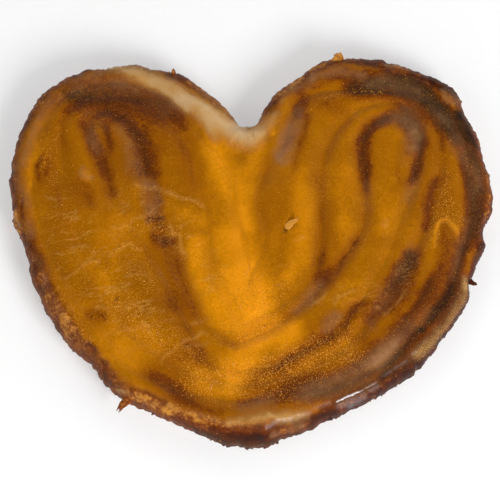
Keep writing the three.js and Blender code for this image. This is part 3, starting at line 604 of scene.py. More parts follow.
    (0.2, 2.4, [(-26, 34, 6), (-24.6, 28, 4)]), (0.12, 2.0, [(-48, 38, 3), (-52.4, 34, 3), (-50, 28, 3)]),
    (0.3, 2.0, [(-19.4, 35.4, 3), (-18.4, 31, 4), (-17.6, 27, 3.6), (-16.4, 22.4, 3), (-14.6, 17.4, 2.2),
        (-12.8, 13.6, 1)]),
    # below the tip of the core
    (0.3, 1.6, [(-20, -31, 3), (-14, -31.6, 4)]),
    (0.3, 1.4, [(-4, -27, 1.6), (4, -23.4, 2), (11, -19.4, 2), (16.6, -14.6, 2)]),
    (0.34, 1.4, [(16, -24, 3), (20, -26.4, 3), (25, -24.4, 3)]),
    (0.34, 1.0, [(22.8, -19.4, 3.4), (20.6, -22.6, 4)]),
    (0.26, 1.8, [(30.4, -19, 3), (31, -23, 4), (29, -26.4, 3)]),
    (0.44, 1.1, [(-16.2, -27.8, 2.4), (-13.8, -29.4, 2.8), (-12.2, -31.8, 2), (-10.2, -33.6, 1.6)]),
    (0.22, 1.0, [(-6.2, -27.6, 1.2), (-4.4, -28.4, 1.2)]), (0.16, 1.6, [(-27, -34.4, 2), (-24, -36, 2)]),
    (0.5, 2.0, [(-23.6, -36.4, 4), (-20, -38.6, 6), (-17.6, -40.6, 3.4)]),
    (0.5, 1.4, [(-18.4, -42.4, 1.8), (-14.6, -44.2, 1.8), (-11.6, -45.4, 1.6), (-8.4, -46, 0.8)]),
    (0.25, 0.9, [(-38.2, -5.2, 1), (-37.6, -7, 1.2)]), (0.3, 1.1, [(-41.2, -18.8, 2), (-39, -19.4, 2)]),
    # left edge
    (0.34, 1.0, [(-60.6, 37.6, 1), (-62.4, 33, 1.6), (-63.6, 28, 1.8), (-64.2, 23, 2.2), (-63.6, 18, 2.8),
        (-62, 13.6, 2.2), (-61, 10.6, 2), (-60, 7.4, 2), (-58.8, 4.4, 2.4), (-58.2, 1.2, 2.4),
        (-56.8, -2.6, 2.2), (-55.8, -6, 2.6)]),
    (0.2, 1.2, [(-55.8, -6, 2), (-54.6, -10, 2.8), (-53, -13.4, 3), (-51.4, -17, 3.4), (-49, -21, 3.8),
        (-46, -25, 4), (-43, -29, 3.4), (-40, -33, 3), (-36.6, -36.4, 3), (-33.6, -39, 1.8)]),
    (0.5, 0.4, [(-61.8, 12.6, 0.8), (-61.6, 9.6, 0.8), (-60.6, 6.4, 0.9)]),
    (0.5, 0.4, [(-58.8, -0.2, 1.4), (-57.8, -1.6, 1.2)]),
    # rim at the top of the right lobe
    (0.45, 0.9, [(6.4, 41, 1), (6.4, 39, 1.4), (5.6, 37.8, 0.6)]),
    (0.5, 0.6, [(12.6, 46.6, 1), (14.4, 47.8, 1.6), (17.6, 50, 1.2), (21, 52, 1.4), (23.6, 51.8, 0.6)]),
    (0.4, 0.5, [(21, 48.3, 0.5), (25, 47.8, 0.7), (29, 48.1, 0.6)]),
    (0.4, 0.5, [(17, 45.3, 1), (19, 45.5, 0.8)]),
    (0.7, 1.4, [(28, 45, 1.6), (33, 45.6, 3.6), (38, 46.8, 4.6), (43, 45.4, 5), (47.4, 42.4, 4.6),
        (50.6, 39.8, 4), (53.6, 35.6, 3.4)]),
    (0.3, 0.8, [(32, 50.4, 1.2), (38, 49.8, 2), (43, 48.8, 2.4), (48, 46.8, 3), (52, 44.4, 2)]),
    (0.4, 0.8, [(50.4, 35, 0.8), (51.4, 31, 0.9), (51.8, 27, 0.8)]),
    (0.4, 1.0, [(57, 25.4, 1), (58, 21, 1.2), (58.6, 17, 1)]),
    (0.62, 1.2, [(54, 34, 3), (56.6, 30, 4), (59, 27, 4), (61.6, 21, 4), (62.6, 16, 4), (62.4, 10, 4),
        (61.6, 4, 3), (60.8, -1, 3)]),
    # front shoulder below the top
    (0.5, 0.6, [(-31, -40.2, 0.8), (-27, -41.6, 0.8), (-22, -44, 0.9), (-17, -46.6, 0.9)]),
    (0.7, 0.7, [(-20.5, -47, 0.8), (-15.5, -48.4, 1.4), (-10, -50.2, 1.4), (-5, -51.8, 1.8),
        (0, -52.6, 2.6), (6, -51.8, 2), (11, -51, 1)]),
    (0.6, 0.8, [(17, -48.4, 2), (22, -46.4, 2), (27, -44.2, 2), (31.6, -41.8, 2.4), (36.6, -38.2, 2.6),
        (41, -34.4, 2.4), (44, -32.2, 1)]),
    (0.5, 1.0, [(46, -30, 2), (50, -24, 2.4), (54, -17, 2.4), (57, -12, 2.4), (59.4, -6, 2)]),
    (0.6, 1.3, [(56.4, -10, 1.4), (55.2, -13, 2.4), (52.4, -19, 3), (48, -25.4, 3), (42, -31.4, 3),
        (36, -36.4, 3), (29, -40.4, 2.6), (22, -43.4, 2)]),
    (0.35, 1.4, [(-50, 46, 2.4), (-44, 47.6, 2.4), (-38, 48.6, 2), (-31, 48, 1)]),
]
# The crumbly rim, drawn along the outline; its width is twice the band that shows. Then its tan places.
rimStrokes = [
    (1.0, 0.9, [(-65, 17, 3), (-63.6, 6.5, 4), (-58.5, -6, 5), (-56, -12, 6.5), (-50, -24, 8),
        (-41.4, -33.6, 8), (-34, -41, 6), (-29, -43.6, 8), (-14, -51, 9), (0, -54, 10), (10, -51.4, 8),
        (16, -49, 5.5), (30, -43.6, 4.5), (38, -38.8, 4), (46, -31.6, 2.4), (54, -20.6, 2), (59, -9.6, 2.4),
        (62.6, 0, 4), (64.6, 9, 3)]),
    (1.0, 0.8, [(64.6, 9, 3), (65.2, 20, 3), (63, 27.6, 3.4), (60, 36, 5), (56.4, 44, 4), (50, 48.6, 6),
        (40, 52, 5), (28, 53.6, 3), (20, 52.6, 4), (12, 48, 4), (6.4, 42.4, 3.4), (3.4, 37, 1)]),
    (1.0, 0.8, [(-3, 35, 1), (-8, 40.4, 3), (-14, 45.4, 4), (-20, 49, 4), (-28, 51.4, 2.4), (-36, 52, 2.4),
        (-46, 50.6, 2.6), (-54, 46, 4), (-60, 38.4, 3.4), (-64, 29.6, 3.4), (-65.6, 22, 3), (-65, 17, 3)]),
]
tanStrokes = [
    (0.8, 1.0, [(-16, 46.6, 3), (-10, 41.6, 3), (-4, 35.6, 2)]),
    (0.8, 1.0, [(7, 42, 2), (10, 45.4, 3), (14, 48, 2)]),
    (0.7, 1.0, [(17, 50.6, 2), (22, 53, 3), (27, 53.6, 2)]), (0.9, 0.7, [(-63.4, 8, 2), (-61.6, 3.6, 1.6)]),
    (0.5, 0.8, [(-40, 50.8, 1.4), (-30, 51.4, 1.4)]), (0.5, 0.8, [(38, 51.6, 1), (41, 51.4, 1)]),
    (0.8, 0.9, [(-32, -41, 2), (-28, -43, 2), (-22, -45.4, 2)]),
    (0.5, 0.7, [(-20, -44.4, 1), (-12, -48.4, 1.4)]), (0.8, 0.9, [(9, -51.4, 2), (14, -49.6, 2)]),
    (0.5, 0.9, [(64, 14, 2), (63.4, 8.6, 2)]), (0.6, 0.9, [(56, -10, 2), (55.4, -13.6, 2)]),
    (0.6, 0.9, [(53.6, -19, 2), (51, -23, 2)]),
    (0.32, 1.6, [(-56, -9, 3), (-52, -17, 4.4), (-45.6, -27, 4.6), (-40, -33, 3)]),
    (0.4, 1.0, [(-24, -44.6, 2), (-18, -46, 2)]),
    (0.6, 1.0, [(-15, -47, 2.4), (-10, -48, 2.6), (-6, -48.6, 1)]),
    (0.6, 0.8, [(-32, -39.8, 1.6), (-24, -43.6, 2.6), (-18, -45.8, 2.8), (-10.5, -48, 2.8),
        (-3.6, -48.6, 2.4), (2.5, -48, 1.4)]),
]
# Darker rim places. The first stroke is painted shade along the front right shoulder and rim, which face the
# key lamp.
darkRimAndShadeStrokes = [
    (0.4, 1.2, [(12, -51, 4), (22, -47.4, 4), (31, -43.6, 4), (39, -38.4, 4), (46.4, -31.4, 4),
        (54, -20.6, 3), (59, -10, 3), (62, -1, 3)]),
    (0.4, 1.0, [(-14, -52, 3), (-8, -53, 4), (0, -54, 4), (9, -52.6, 3)]),
    (0.3, 1.0, [(50, 48, 3), (56, 43, 3)]),
]
# Where light wrinkles cross the glaze.
crinkleStrokes = [
    (0.9, 5.0, [(-50, 8, 10), (-46, -2, 14), (-38, -12, 16), (-28, -22, 14)]),
    (0.7, 4.0, [(-33, 12, 8), (-24, 6, 10), (-16, 0, 8), (-10, -10, 8)]),
    (0.4, 3.0, [(16, -16, 6), (26, -14, 6), (36, -14, 6), (44, -6, 6)]),
]
# Almost burnt places, and painted shadow: a dark line under the lifted flake on the top, and the dark inside
# a small pit.
charAndShadowStrokes = [
    (0.55, 1.4, [(-50.4, 43.6, 2.4), (-48, 42.4, 4.6), (-45.4, 42, 3.4), (-43, 43, 1.6)]),
    (0.88, 0.9, [(56.6, 37.8, 2.4), (57.8, 35.4, 3.4), (58.6, 32.6, 3.4), (59.8, 29.8, 2.6),
        (61.2, 27.4, 1.4)]),
    (0.4, 1.4, [(44, 46, 3), (48, 43.6, 3), (51, 40.6, 3), (51.8, 38.8, 2)]),
    (0.54, 2.0, [(29, 45, 3), (34, 46, 4.4), (40, 46, 5), (46, 43.6, 6), (51.6, 38.6, 5), (56, 31, 4)]),
    (0.3, 1.6, [(58.6, 27, 3), (60.4, 21, 3.4), (60.6, 14, 3)]),
    (0.2, 1.4, [(38, 36.6, 2), (42.6, 36, 4), (45.2, 31.6, 3)]),
    (0.26, 1.4, [(42, -4, 3), (40, -8.6, 4), (37, -13, 3.4)]),
    (0.2, 1.6, [(-50, 44, 3), (-44, 44.6, 4), (-38, 43.6, 3)]),
    (0.8, 0.5, [(44.4, -23.9, 1.4), (45.2, -24.3, 1.1)]),
    (0.4, 0.8, [(53, -13.6, 1.6), (50, -18, 2), (47, -22, 1.6)]),
    (0.4, 0.9, [(38.4, -31.6, 1), (35.6, -35.4, 1.4), (34.4, -37, 1.2)]),
    (0.45, 0.3, [(-36, 35.6, 0.25), (-34.6, 36.6, 0.4), (-33.2, 37.6, 0.3)]),
    (0.35, 0.3, [(-30, 19.4, 0.25), (-28.4, 20.2, 0.4)]),
    (0.4, 0.3, [(-44.8, 31.8, 0.2), (-42.6, 32.6, 0.4)]),
    # painted shadow under the lifted flake on the top
    (0.6, 0.4, [(8.6, 2.6, 0.4), (9.4, 3.6, 0.7), (11, 4.6, 0.6), (12.6, 5.4, 0.3)]),
    (0.5, 0.25, [(0.5, 32, 0.25), (0.6, 30.6, 0.35), (1.2, 30, 0.4), (2, 30.2, 0.3)]),
    (0.5, 0.4, [(-5.2, 29.3, 0.5)]), (0.45, 0.35, [(-3.8, 28.3, 0.4), (-3.3, 27.6, 0.3)]),
    (0.6, 0.4, [(58.2, -10.6, 1), (58.6, -12, 1.2)]), (0.55, 0.5, [(55.8, -14.4, 0.8), (56, -15.4, 1)]),
    (0.5, 0.6, [(61.4, 14.6, 0.8), (62.2, 14, 0.6)]), (0.4, 0.35, [(43.2, 5.2, 0.5)]),
    # the first of these is painted shade inside a small pit
    (0.8, 0.35, [(-35.2, -15.5, 0.9)]), (0.5, 0.8, [(-1, -52.8, 1), (3, -52.8, 1.2)]),
]
# Bright honey-coloured places, where the glaze is deep over pale crumb; the brightest, down the middle and
# over the lower middle, are partly a painted sheen.
glowStrokes = [
    (0.75, 2.4, [(-11, 29, 3), (-8, 24, 7), (-6, 18, 7), (-3, 10, 5), (-1, 4, 3)]),
    (0.5, 2.0, [(2.6, 26, 3), (-0.6, 20, 5), (-1.4, 12, 5), (-2, 4, 5)]),
    (0.7, 2.0, [(-14.5, 0, 5), (-14.6, -5, 6), (-13, -10, 5), (-9.6, -16, 6), (-6.6, -21, 6)]),
    (0.75, 3.4, [(-6, 2, 8), (-3, -6, 12), (-1, -14, 14), (0, -20, 13)]),
    (0.8, 2.4, [(2, -24, 8), (8, -25, 8), (13, -23.5, 4)]),
    (0.6, 2.4, [(-2, -10, 8), (1, -16, 9), (4, -21, 8)]),
    (0.8, 2.6, [(0, -28, 9), (-3, -33, 9), (-5, -38, 5)]),
    (0.45, 2.0, [(-12, -36, 5), (-10, -40, 4), (-5, -41, 3)]),
    (0.5, 2.0, [(14, 20, 3), (14.4, 14, 5), (14.6, 8, 5), (14, 2, 5), (12.6, -4, 5), (10, -9, 4)]),
    (0.3, 2.0, [(25, 20, 4), (26, 10, 5), (25, 4, 4)]), (0.4, 2.4, [(-17, 8, 4), (-13, 6, 5)]),
    (0.36, 2.0, [(-30, -24, 5), (-26, -29, 5), (-33, -28, 5)]),
    (0.35, 2.6, [(-38, -22, 6), (-36, -29, 8), (-30, -33, 5)]),
    (0.3, 2.6, [(-34, 6, 5), (-38, 0, 6), (-38, -12, 7)]), (0.3, 2.0, [(36, 4, 5), (37, 12, 4)]),
    (0.3, 2.0, [(24, -12, 3), (28, -11, 3)]),
    (0.4, 0.8, [(-58.3, 28.4, 1.4), (-58.6, 24, 2), (-59.6, 18.6, 1.6), (-60, 15, 1)]),
    (0.35, 1.2, [(21, -24.6, 3), (25, -27.6, 3), (29, -29, 3)]), (0.5, 0.6, [(4.5, 33.4, 3), (6, 31.5, 2)]),
    (0.6, 1.2, [(3, 32.4, 3), (5.4, 35.4, 3)]),
    (1.0, 0.8, [(49.6, -1, 0.8), (49.4, 3, 1), (50.6, 6, 1.2), (53, 6.8, 1.4), (55, 4.6, 1.4), (56, 1, 1.2),
        (55.6, -2.4, 0.8)]),
    (0.7, 1.4, [(-15, 40, 4), (-10.6, 36, 5), (-6, 32, 5), (-2.6, 29.6, 5), (2, 30, 4)]),
    (0.4, 1.2, [(-13, 36, 3), (-8.6, 31, 4), (-4, 27.4, 4)]), (0.3, 2.2, [(-12, 14, 4), (-9, 9, 5)]),
    (0.5, 0.8, [(-45, 20.4, 1.6), (-44, 19, 2.2)]), (0.5, 0.6, [(-52, 33, 1.4)]),
    (0.4, 0.6, [(-56.4, 31.4, 1.2)]),
]
# Browner, duller honey.
dullStrokes = [
    (0.2, 1.8, [(7, 20, 6), (6, 14, 7), (6, 8, 6)]),
    (0.4, 2.4, [(-53, 32, 6), (-51, 24, 8), (-50, 16, 8), (-52, 6, 5), (-50, -6, 5), (-45, -13, 5)]),
    (0.3, 2.4, [(-36, 30, 6), (-34, 22, 6)]), (0.3, 1.6, [(24, -27, 6), (20, -21, 4)]),
    (0.4, 2.0, [(-30, -8, 5), (-28, -14, 6), (-24, -21, 4)]),
    (0.4, 1.8, [(-22.5, 30, 5), (-21, 22, 6), (-17.6, 14, 5)]), (0.4, 1.4, [(45, 8, 3), (43, 14, 3)]),
    (0.4, 1.4, [(30, -24, 4), (27, -31, 6), (19, -33, 5)]),
    (0.4, 1.4, [(54, 14, 3), (53, 4, 4), (51, -4, 3)]),
]
# Milky glaze in a thin veil: strength is how much of the crust it hides.
veilStrokes = [
    (0.22, 1.5, [(38, -27.6, 3), (36, -30.4, 4.6), (31, -34.6, 5), (24, -38.4, 4.6), (18, -40.8, 3.6),
        (13, -42.6, 2)]),
    (0.15, 0.6, [(13, 38, 2.6), (11.6, 33.4, 4.4), (10, 29, 5), (9, 25.6, 5.2)]),
    (0.1, 0.7, [(9.6, 28, 4), (8.8, 25.4, 4.6)]),
    (0.26, 1.3, [(36, 35.4, 1.6), (40.2, 36.2, 3.4), (43.6, 34.4, 5), (44.6, 31, 4.4), (44.2, 27.4, 3)]),
    (0.13, 1.0, [(42.6, 39, 1.6), (44.4, 37.4, 2.4)]), (0.08, 1.2, [(43, 26, 3), (42, 23, 2)]),
    (0.12, 1.0, [(44.4, 17.4, 2), (43, 14.4, 2.4), (42.4, 12, 1.4)]),
    (0.12, 0.9, [(31.8, 17, 1.4), (32, 14, 1.6), (31.4, 10, 1)]),
    (0.09, 1.0, [(42.6, -2, 2.6), (41, -5, 3), (39.6, -8, 2.6), (37.6, -11.6, 2.2), (35.6, -15, 2),
        (33.4, -18.6, 2)]),
    (0.12, 0.8, [(31.8, -21.6, 1.8), (32.4, -23.2, 1.6)]),
    (0.14, 0.9, [(18.4, -11.4, 2.6), (17.4, -13, 3.6), (15, -16, 3), (12, -18.4, 2)]),
    (0.1, 0.6, [(19.8, -13.8, 1), (18.4, -15.8, 1.2), (16.4, -17.2, 1)]),
    (0.15, 1.3, [(39.6, -24.6, 3), (37, -28, 4.4), (33.4, -32, 4.6), (29, -34.8, 4.2), (24, -37, 3.6),
        (19, -38.6, 2.6), (14, -40, 1.6)]),
    (0.12, 1.2, [(47, -19, 2.4), (43.4, -22.6, 2.6), (40.4, -22, 2)]),
    (0.16, 1.2, [(5, -43, 3), (0.6, -44.4, 3), (-3, -45, 2)]),
    (0.17, 0.9, [(-43.2, 33.4, 1.6), (-43, 30.4, 2.6), (-42.4, 28, 2.4), (-41.6, 25.6, 1.2)]),
    (0.12, 1.6, [(-44, 36.6, 2.4), (-40.4, 36, 2.4), (-39.4, 33, 1)]),
    (0.14, 1.0, [(-31.4, 24, 1.6), (-31, 21.4, 2), (-29.6, 18, 3), (-27.6, 16.6, 3)]),
    (0.16, 0.6, [(-27.4, 15.6, 4), (-26.6, 12.6, 5.6), (-26.2, 10, 5)]),
    (0.08, 1.2, [(-23.6, -8, 2.4), (-20.4, -11, 1.6)]),
    (0.2, 2.0, [(-46, 45, 3), (-39, 46.2, 4), (-32, 44.8, 3)]), (0.12, 1.6, [(-27, 42.4, 3), (-23, 39, 3)]),
    (0.14, 1.3, [(-35, 33.4, 2), (-33, 28.6, 2.6), (-31.8, 23.6, 2.6)]),
    (0.12, 1.2, [(-49, 44, 2), (-47, 46.6, 1.6), (-42, 47, 1.6), (-37, 46.2, 1.4), (-34.6, 45.4, 1.6)]),
    (0.22, 1.1, [(-52.4, 41.8, 2.4), (-55.4, 40, 3), (-57.2, 36.6, 2.6), (-59, 32.4, 2.4), (-60.6, 27.6, 2),
        (-61.6, 22.6, 1.8)]),
    (0.2, 0.9, [(-63.4, 22, 2.4), (-62.8, 16.4, 2.4), (-60.8, 12, 2), (-60, 9.4, 1.4), (-58.8, 4.6, 2),
        (-58.4, 2, 2)]),
    (0.16, 0.9, [(-56.6, -4, 1.6), (-55.6, -6.4, 2), (-54.6, -9.4, 1.8), (-54, -12.6, 1.4)]),
    (0.08, 1.0, [(-52, -17, 2), (-47.4, -25, 2.6), (-43, -30, 3.4), (-39.4, -34.4, 3), (-36, -37.2, 2),
        (-33.4, -39, 1.4)]),
    (0.16, 1.5, [(33, 46, 3), (38, 46.4, 4), (43, 44.4, 4), (47.6, 41.8, 3.4), (50.6, 38.6, 2.6),
        (53.4, 34.6, 3), (55.6, 31, 3)]),
    (0.2, 1.2, [(55.4, 29, 3), (58, 25, 3.4), (60.6, 20.6, 3), (60.6, 16, 2.4), (59.6, 10, 1)]),
    (0.26, 0.9, [(17, 48.8, 1.6), (22, 49.4, 2.2), (27, 49.4, 2.2), (31, 48.8, 1.4)]),
    (0.24, 1.0, [(8, 41, 1.6), (10.4, 44.4, 2.2), (13.6, 45.4, 2), (16.6, 47.4, 2)]),
    (0.14, 1.0, [(58.4, 6, 1.4), (57.6, 1, 1.6), (55, -5, 1.4), (53.6, -9.6, 1.4)]),
    (0.3, 0.7, [(6, -51.6, 1.6), (10, -51.2, 2), (13, -50, 2)]),
    (0.06, 1.0, [(-23, -38.6, 1.6), (-21, -40.8, 1.6)]),
    (0.3, 0.5, [(53.8, 43.8, 1.6), (55, 42.4, 3.2), (55.8, 40.8, 1.8)]),
]
# Thick cream-coloured glaze, and a painted highlight along the ridge of its band by the notch.
creamAndHighlightStrokes = [
    (0.34, 1.0, [(-5.5, -48.2, 1.4), (0, -48, 2.4), (5, -46.8, 2.4)]),
    (0.56, 1.4, [(-38, 50.6, 1), (-35, 50.1, 2.2), (-31, 48.9, 3.8), (-26.5, 47.1, 4.8), (-22.2, 44.7, 4.8),
        (-19, 41.6, 4.4), (-17.4, 38.6, 2.2)]),
    (0.66, 1.9, [(-19, 43, 2), (-15.4, 40.6, 4.4), (-12, 37.6, 5), (-8.6, 34.6, 5.4), (-5.4, 32.4, 5.4),
        (-2.4, 30.6, 5.2), (0.4, 30, 4.6), (2.4, 30.8, 3)]),
    (0.4, 1.0, [(-12.6, 37, 2.6), (-11, 34, 2.4), (-9.8, 31, 1.8), (-9, 29.2, 0.8)]),
    # painted highlight along the ridge of the cream band
    (0.5, 0.9, [(-15.4, 41.6, 1), (-12, 38.8, 1.6), (-9, 36, 2), (-5.4, 33.4, 2.4), (-1.8, 31.4, 2.4)]),
    (0.42, 1.0, [(1, 31, 2.4), (3, 32.4, 3.2), (5, 34.6, 3.2), (6.6, 37, 2)]),
    (0.2, 1.0, [(-42, 49.6, 1), (-37, 50.2, 1.4), (-31, 50.2, 1)]),
    (0.12, 1.0, [(-50.6, 46.4, 1.2), (-46, 48.2, 1.4), (-41, 48.6, 1.2)]),
    (0.24, 0.9, [(2.8, 35, 1.4), (3.4, 36.8, 1.4)]),
    (0.28, 0.6, [(-45.4, 21.6, 0.6), (-45, 19.4, 1.4), (-42.4, 18.8, 0.9)]), (0.07, 0.9, [(-44.4, 20, 2)]),
    (0.16, 0.4, [(-28, 5.4, 1.6)]), (0.16, 0.4, [(-26.8, 2.7, 1.2)]),
    (0.1, 0.9, [(-33.6, 26, 0.8), (-32.6, 22, 1), (-34, 20, 1)]),
    (0.14, 0.7, [(7.6, 24, 1.6), (8.8, 23, 1.8), (10.8, 23.6, 1.4)]),
    (0.2, 0.8, [(22.6, -20, 3.2), (20.8, -22.2, 3.6), (20, -24, 2)]),
    (0.4, 0.6, [(56.6, -9.6, 1), (56.2, -12.4, 1.4)]),
    (0.3, 1.0, [(57, -11.6, 1.6), (55.6, -15.6, 2.2), (52.4, -21.6, 2.8), (48, -27.2, 3.2),
        (43.6, -31, 2.2)]),
    (0.08, 1.0, [(44.6, -29.2, 2.4), (40, -32.8, 1.6)]),
    (0.46, 1.3, [(5.6, -47, 1.6), (9.6, -47.2, 3.4), (14, -46.4, 2)]),
    (0.3, 0.9, [(-5.6, -48.6, 2), (-3, -48.8, 1.6)]), (0.2, 0.8, [(1, -48, 1.6), (3.6, -48, 1.6)]),
    (0.14, 0.7, [(-31, -40.8, 1), (-27, -43, 1.2), (-22, -44.4, 1.2), (-17, -45.8, 1)]),
    (0.14, 0.8, [(-15, -46.4, 1.4), (-11, -47.6, 1.4), (-8, -48.4, 1)]),
    (0.1, 0.6, [(50, 5.6, 0.6), (52.4, 6.4, 0.8), (54.6, 5, 0.8), (55.6, 2, 0.8), (56, -0.6, 0.5)]),
    (0.08, 0.6, [(50, 5, 0.6), (50, 2, 0.6), (50.2, -0.6, 0.5)]), (0.16, 0.5, [(36.4, 6.4, 1.2)]),
    (0.08, 0.8, [(35.8, 2, 1.2)]), (0.35, 0.6, [(38, 51.6, 0.8), (41, 51.6, 0.9)]),
    (0.35, 0.5, [(-62.8, 6.6, 1), (-61.8, 4.6, 1)]), (0.35, 0.4, [(-55.4, -15.4, 0.8)]),
    (0.4, 0.5, [(-34.4, -39.6, 1), (-32, -40.4, 0.8)]), (0.1, 0.8, [(28.6, 37.2, 0.8), (29.2, 36, 0.8)]),
]
# Where sugar lies thickest, and with it the painted glints of its specks.
sugarStrokes = [
    (0.9, 2.8, [(-14, -37, 6), (-4, -37, 8), (4, -35, 8), (12, -33, 8), (20, -31, 6), (26, -31, 4)]),
    (0.5, 3.4, [(-3, -24, 8), (4, -22, 9), (0, -12, 8)]),
    (0.5, 2.0, [(18, -27, 3), (22, -27, 4), (26, -25, 4)]),
    (0.5, 2.0, [(-34, -18, 7), (-30, -22, 7), (-22, -27, 5), (-15, -31, 5)]),
    (0.45, 1.0, [(-51, -14, 3), (-46, -22, 4), (-42, -27, 3)]),
    (0.5, 1.4, [(52.6, 14, 3), (53.6, 10, 4), (55, 7, 4)]),
    (0.35, 1.4, [(54, 20, 3), (52, 14, 3), (48, -1, 2)]), (0.3, 2.0, [(10, -8, 5), (8, -14, 5)]),
    (0.3, 1.4, [(19, 18, 2), (19.4, 12, 2)]), (0.3, 2.0, [(-30, -6, 6), (-27, -12, 5)]),
    (0.35, 1.8, [(-36, 3, 4), (-31, 5, 3), (-20, 4, 2)]),
    (0.3, 1.8, [(-53, 30, 3), (-55, 25, 4), (-53, 16, 3)]), (0.3, 1.4, [(26, -14, 4), (30, -13, 3)]),
    (0.4, 1.0, [(6, -41, 3), (9, -42, 3)]),
    (0.6, 0.5, [(19.4, 41.8, 0.5), (22.4, 42.4, 0.6), (27.3, 43.6, 0.6), (31.6, 44.4, 0.6),
        (36, 43.4, 0.6)]),
    (0.8, 0.5, [(-32, 16, 0.6), (-29, 15.6, 0.7), (-25, 15.6, 0.6), (-22, 14.6, 0.9), (-19, 13, 0.8),
        (-15, 11.8, 0.8), (-12.4, 10, 0.6)]),
    (0.7, 0.5, [(-36, -1.8, 0.5), (-33, 0.2, 0.6), (-30.8, -0.8, 0.7), (-29, -1.4, 0.6)]),
    (0.6, 0.4, [(-21.4, 3.2, 1), (-19, 3.4, 1.6)]),
    (0.8, 0.4, [(-19.4, -1, 0.5), (-18.4, -2.4, 0.6), (-17.2, -6.8, 0.6)]),
    (0.6, 0.4, [(-44.6, -6.6, 0.4), (-42.4, -5.4, 0.5), (-40.6, -5.2, 0.5)]),
    (0.5, 0.4, [(-22, -11.4, 0.5), (-20.4, -11.8, 0.6), (-18.4, -12.4, 0.6)]),
]
# Where the glaze is wettest and shines.
wetStrokes = [
    (0.95, 0.6, [(23, -43.8, 2), (26, -42.6, 3), (28.6, -41.4, 2.6)]),
    (0.85, 0.4, [(31, -40, 1.4), (32.8, -39.2, 1.2)]),
    (0.8, 0.5, [(6.8, -45, 0.8), (7.6, -47, 1), (9.6, -48.4, 1), (12, -48.4, 0.8)]),
    (0.1, 2.0, [(36, -30, 4), (42, -24, 4)]), (0.3, 1.5, [(-22, 45, 5), (-10, 34, 5), (0, 30, 4)]),
    (0.3, 1.5, [(10, 32, 4), (9, 26, 5)]),
]
# Raised and sunken marks, (height, softness, path): wrinkles in the skin, then blobs, lips and cracks.
wrinkleStrokes = [
    (0.16, 0.35, [(-36, -2, 0.5), (-34.5, -1.2, 0.6), (-33, 0, 0.6), (-32, 0.3, 0.4)]),
    (0.14, 0.35, [(-37, 4.7, 0.5), (-34.5, 4.5, 0.6), (-33, 5, 0.5), (-32, 4.5, 0.4)]),
    (0.12, 0.35, [(-37.5, 2.5, 0.4), (-35.5, 2.7, 0.5), (-34, 2.5, 0.4)]),
    (0.16, 0.35, [(-49, -9.8, 0.4), (-45, -6.5, 0.4), (-43.5, -5.5, 0.5), (-42, -5.2, 0.5), (-41, -5, 0.5),
        (-40.5, -6.3, 0.4)]),
    (0.12, 0.35, [(-48.5, -18, 0.4), (-47, -18.5, 0.5)]),
    (0.12, 0.35, [(-41, -17.3, 0.4), (-39, -17.6, 0.6), (-36.8, -19, 0.4)]),
    (0.2, 0.4, [(-31, 16, 0.5), (-27, 15.9, 0.7), (-24, 15.2, 0.6), (-21, 14.3, 0.8), (-19, 13, 0.7),
        (-16, 12.3, 0.7), (-12.5, 10.5, 0.5)]),
    (0.2, 0.4, [(-30, 7, 0.6), (-28, 7.3, 0.8), (-26, 8, 0.8), (-23.5, 8.5, 0.6)]),
    (0.22, 0.4, [(-21.4, 5.6, 0.5), (-20.8, 3.4, 0.7), (-19.3, 2, 0.6), (-18.8, -1.5, 0.7),
        (-17.6, -3, 0.5)]),
    (0.15, 0.35, [(-31.5, 0, 0.4), (-30.5, -1.3, 0.6), (-29, -1.5, 0.4)]),
    (0.12, 0.4, [(-11, -8, 0.5), (-10.4, -10, 0.5)]), (0.12, 0.4, [(-9.5, -10.5, 0.4), (-10, -12, 0.5)]),
    (0.15, 0.35, [(-23.2, -32.6, 0.3), (-22.2, -30.4, 0.6), (-20.4, -29.8, 0.6), (-18.8, -27.8, 0.4)]),
    (0.17, 0.35, [(-18, -28, 0.3), (-16.4, -26.4, 0.8), (-14.4, -26.3, 0.5), (-13, -25, 0.8),
        (-11, -25, 0.3)]),
    (0.14, 0.35, [(-15.3, -22.5, 0.4), (-13, -22, 0.6), (-11, -21, 0.4)]),
    (0.12, 0.35, [(-17, -28.6, 0.4), (-14, -28, 0.6), (-11, -28.4, 0.4)]),
    (0.12, 0.35, [(-33, -9.4, 0.4), (-30, -8.2, 0.5), (-27, -8.6, 0.4)]),
    (0.12, 0.35, [(-55, 13, 0.4), (-52, 12, 0.5)]),
    (0.14, 0.35, [(-48, -2, 0.4), (-45, -1, 0.5), (-42.4, -1.6, 0.4)]),
    (0.12, 0.35, [(-36, -14, 0.4), (-33, -13, 0.5), (-31, -14.4, 0.4)]),
    (0.2, 0.4, [(12, 1, 0.4), (14.3, 2, 0.5)]), (0.14, 0.4, [(36.4, 6.6, 0.8), (36, 4.6, 0.7)]),
    (0.15, 0.4, [(41, -13.5, 0.4), (38, -17, 0.5), (35, -19.5, 0.4)]), (0.18, 0.4, [(33.6, -17.6, 1)]),
    (0.14, 0.4, [(16.5, -17, 0.5), (18.5, -15.5, 0.7), (20, -14, 0.5)]),
    (0.14, 0.5, [(27.6, -13, 0.5), (24.6, -14.4, 0.7), (22.6, -16.6, 0.6)]),
    (0.14, 0.5, [(-28, -22, 1), (-26.6, -24.6, 1)]),
]
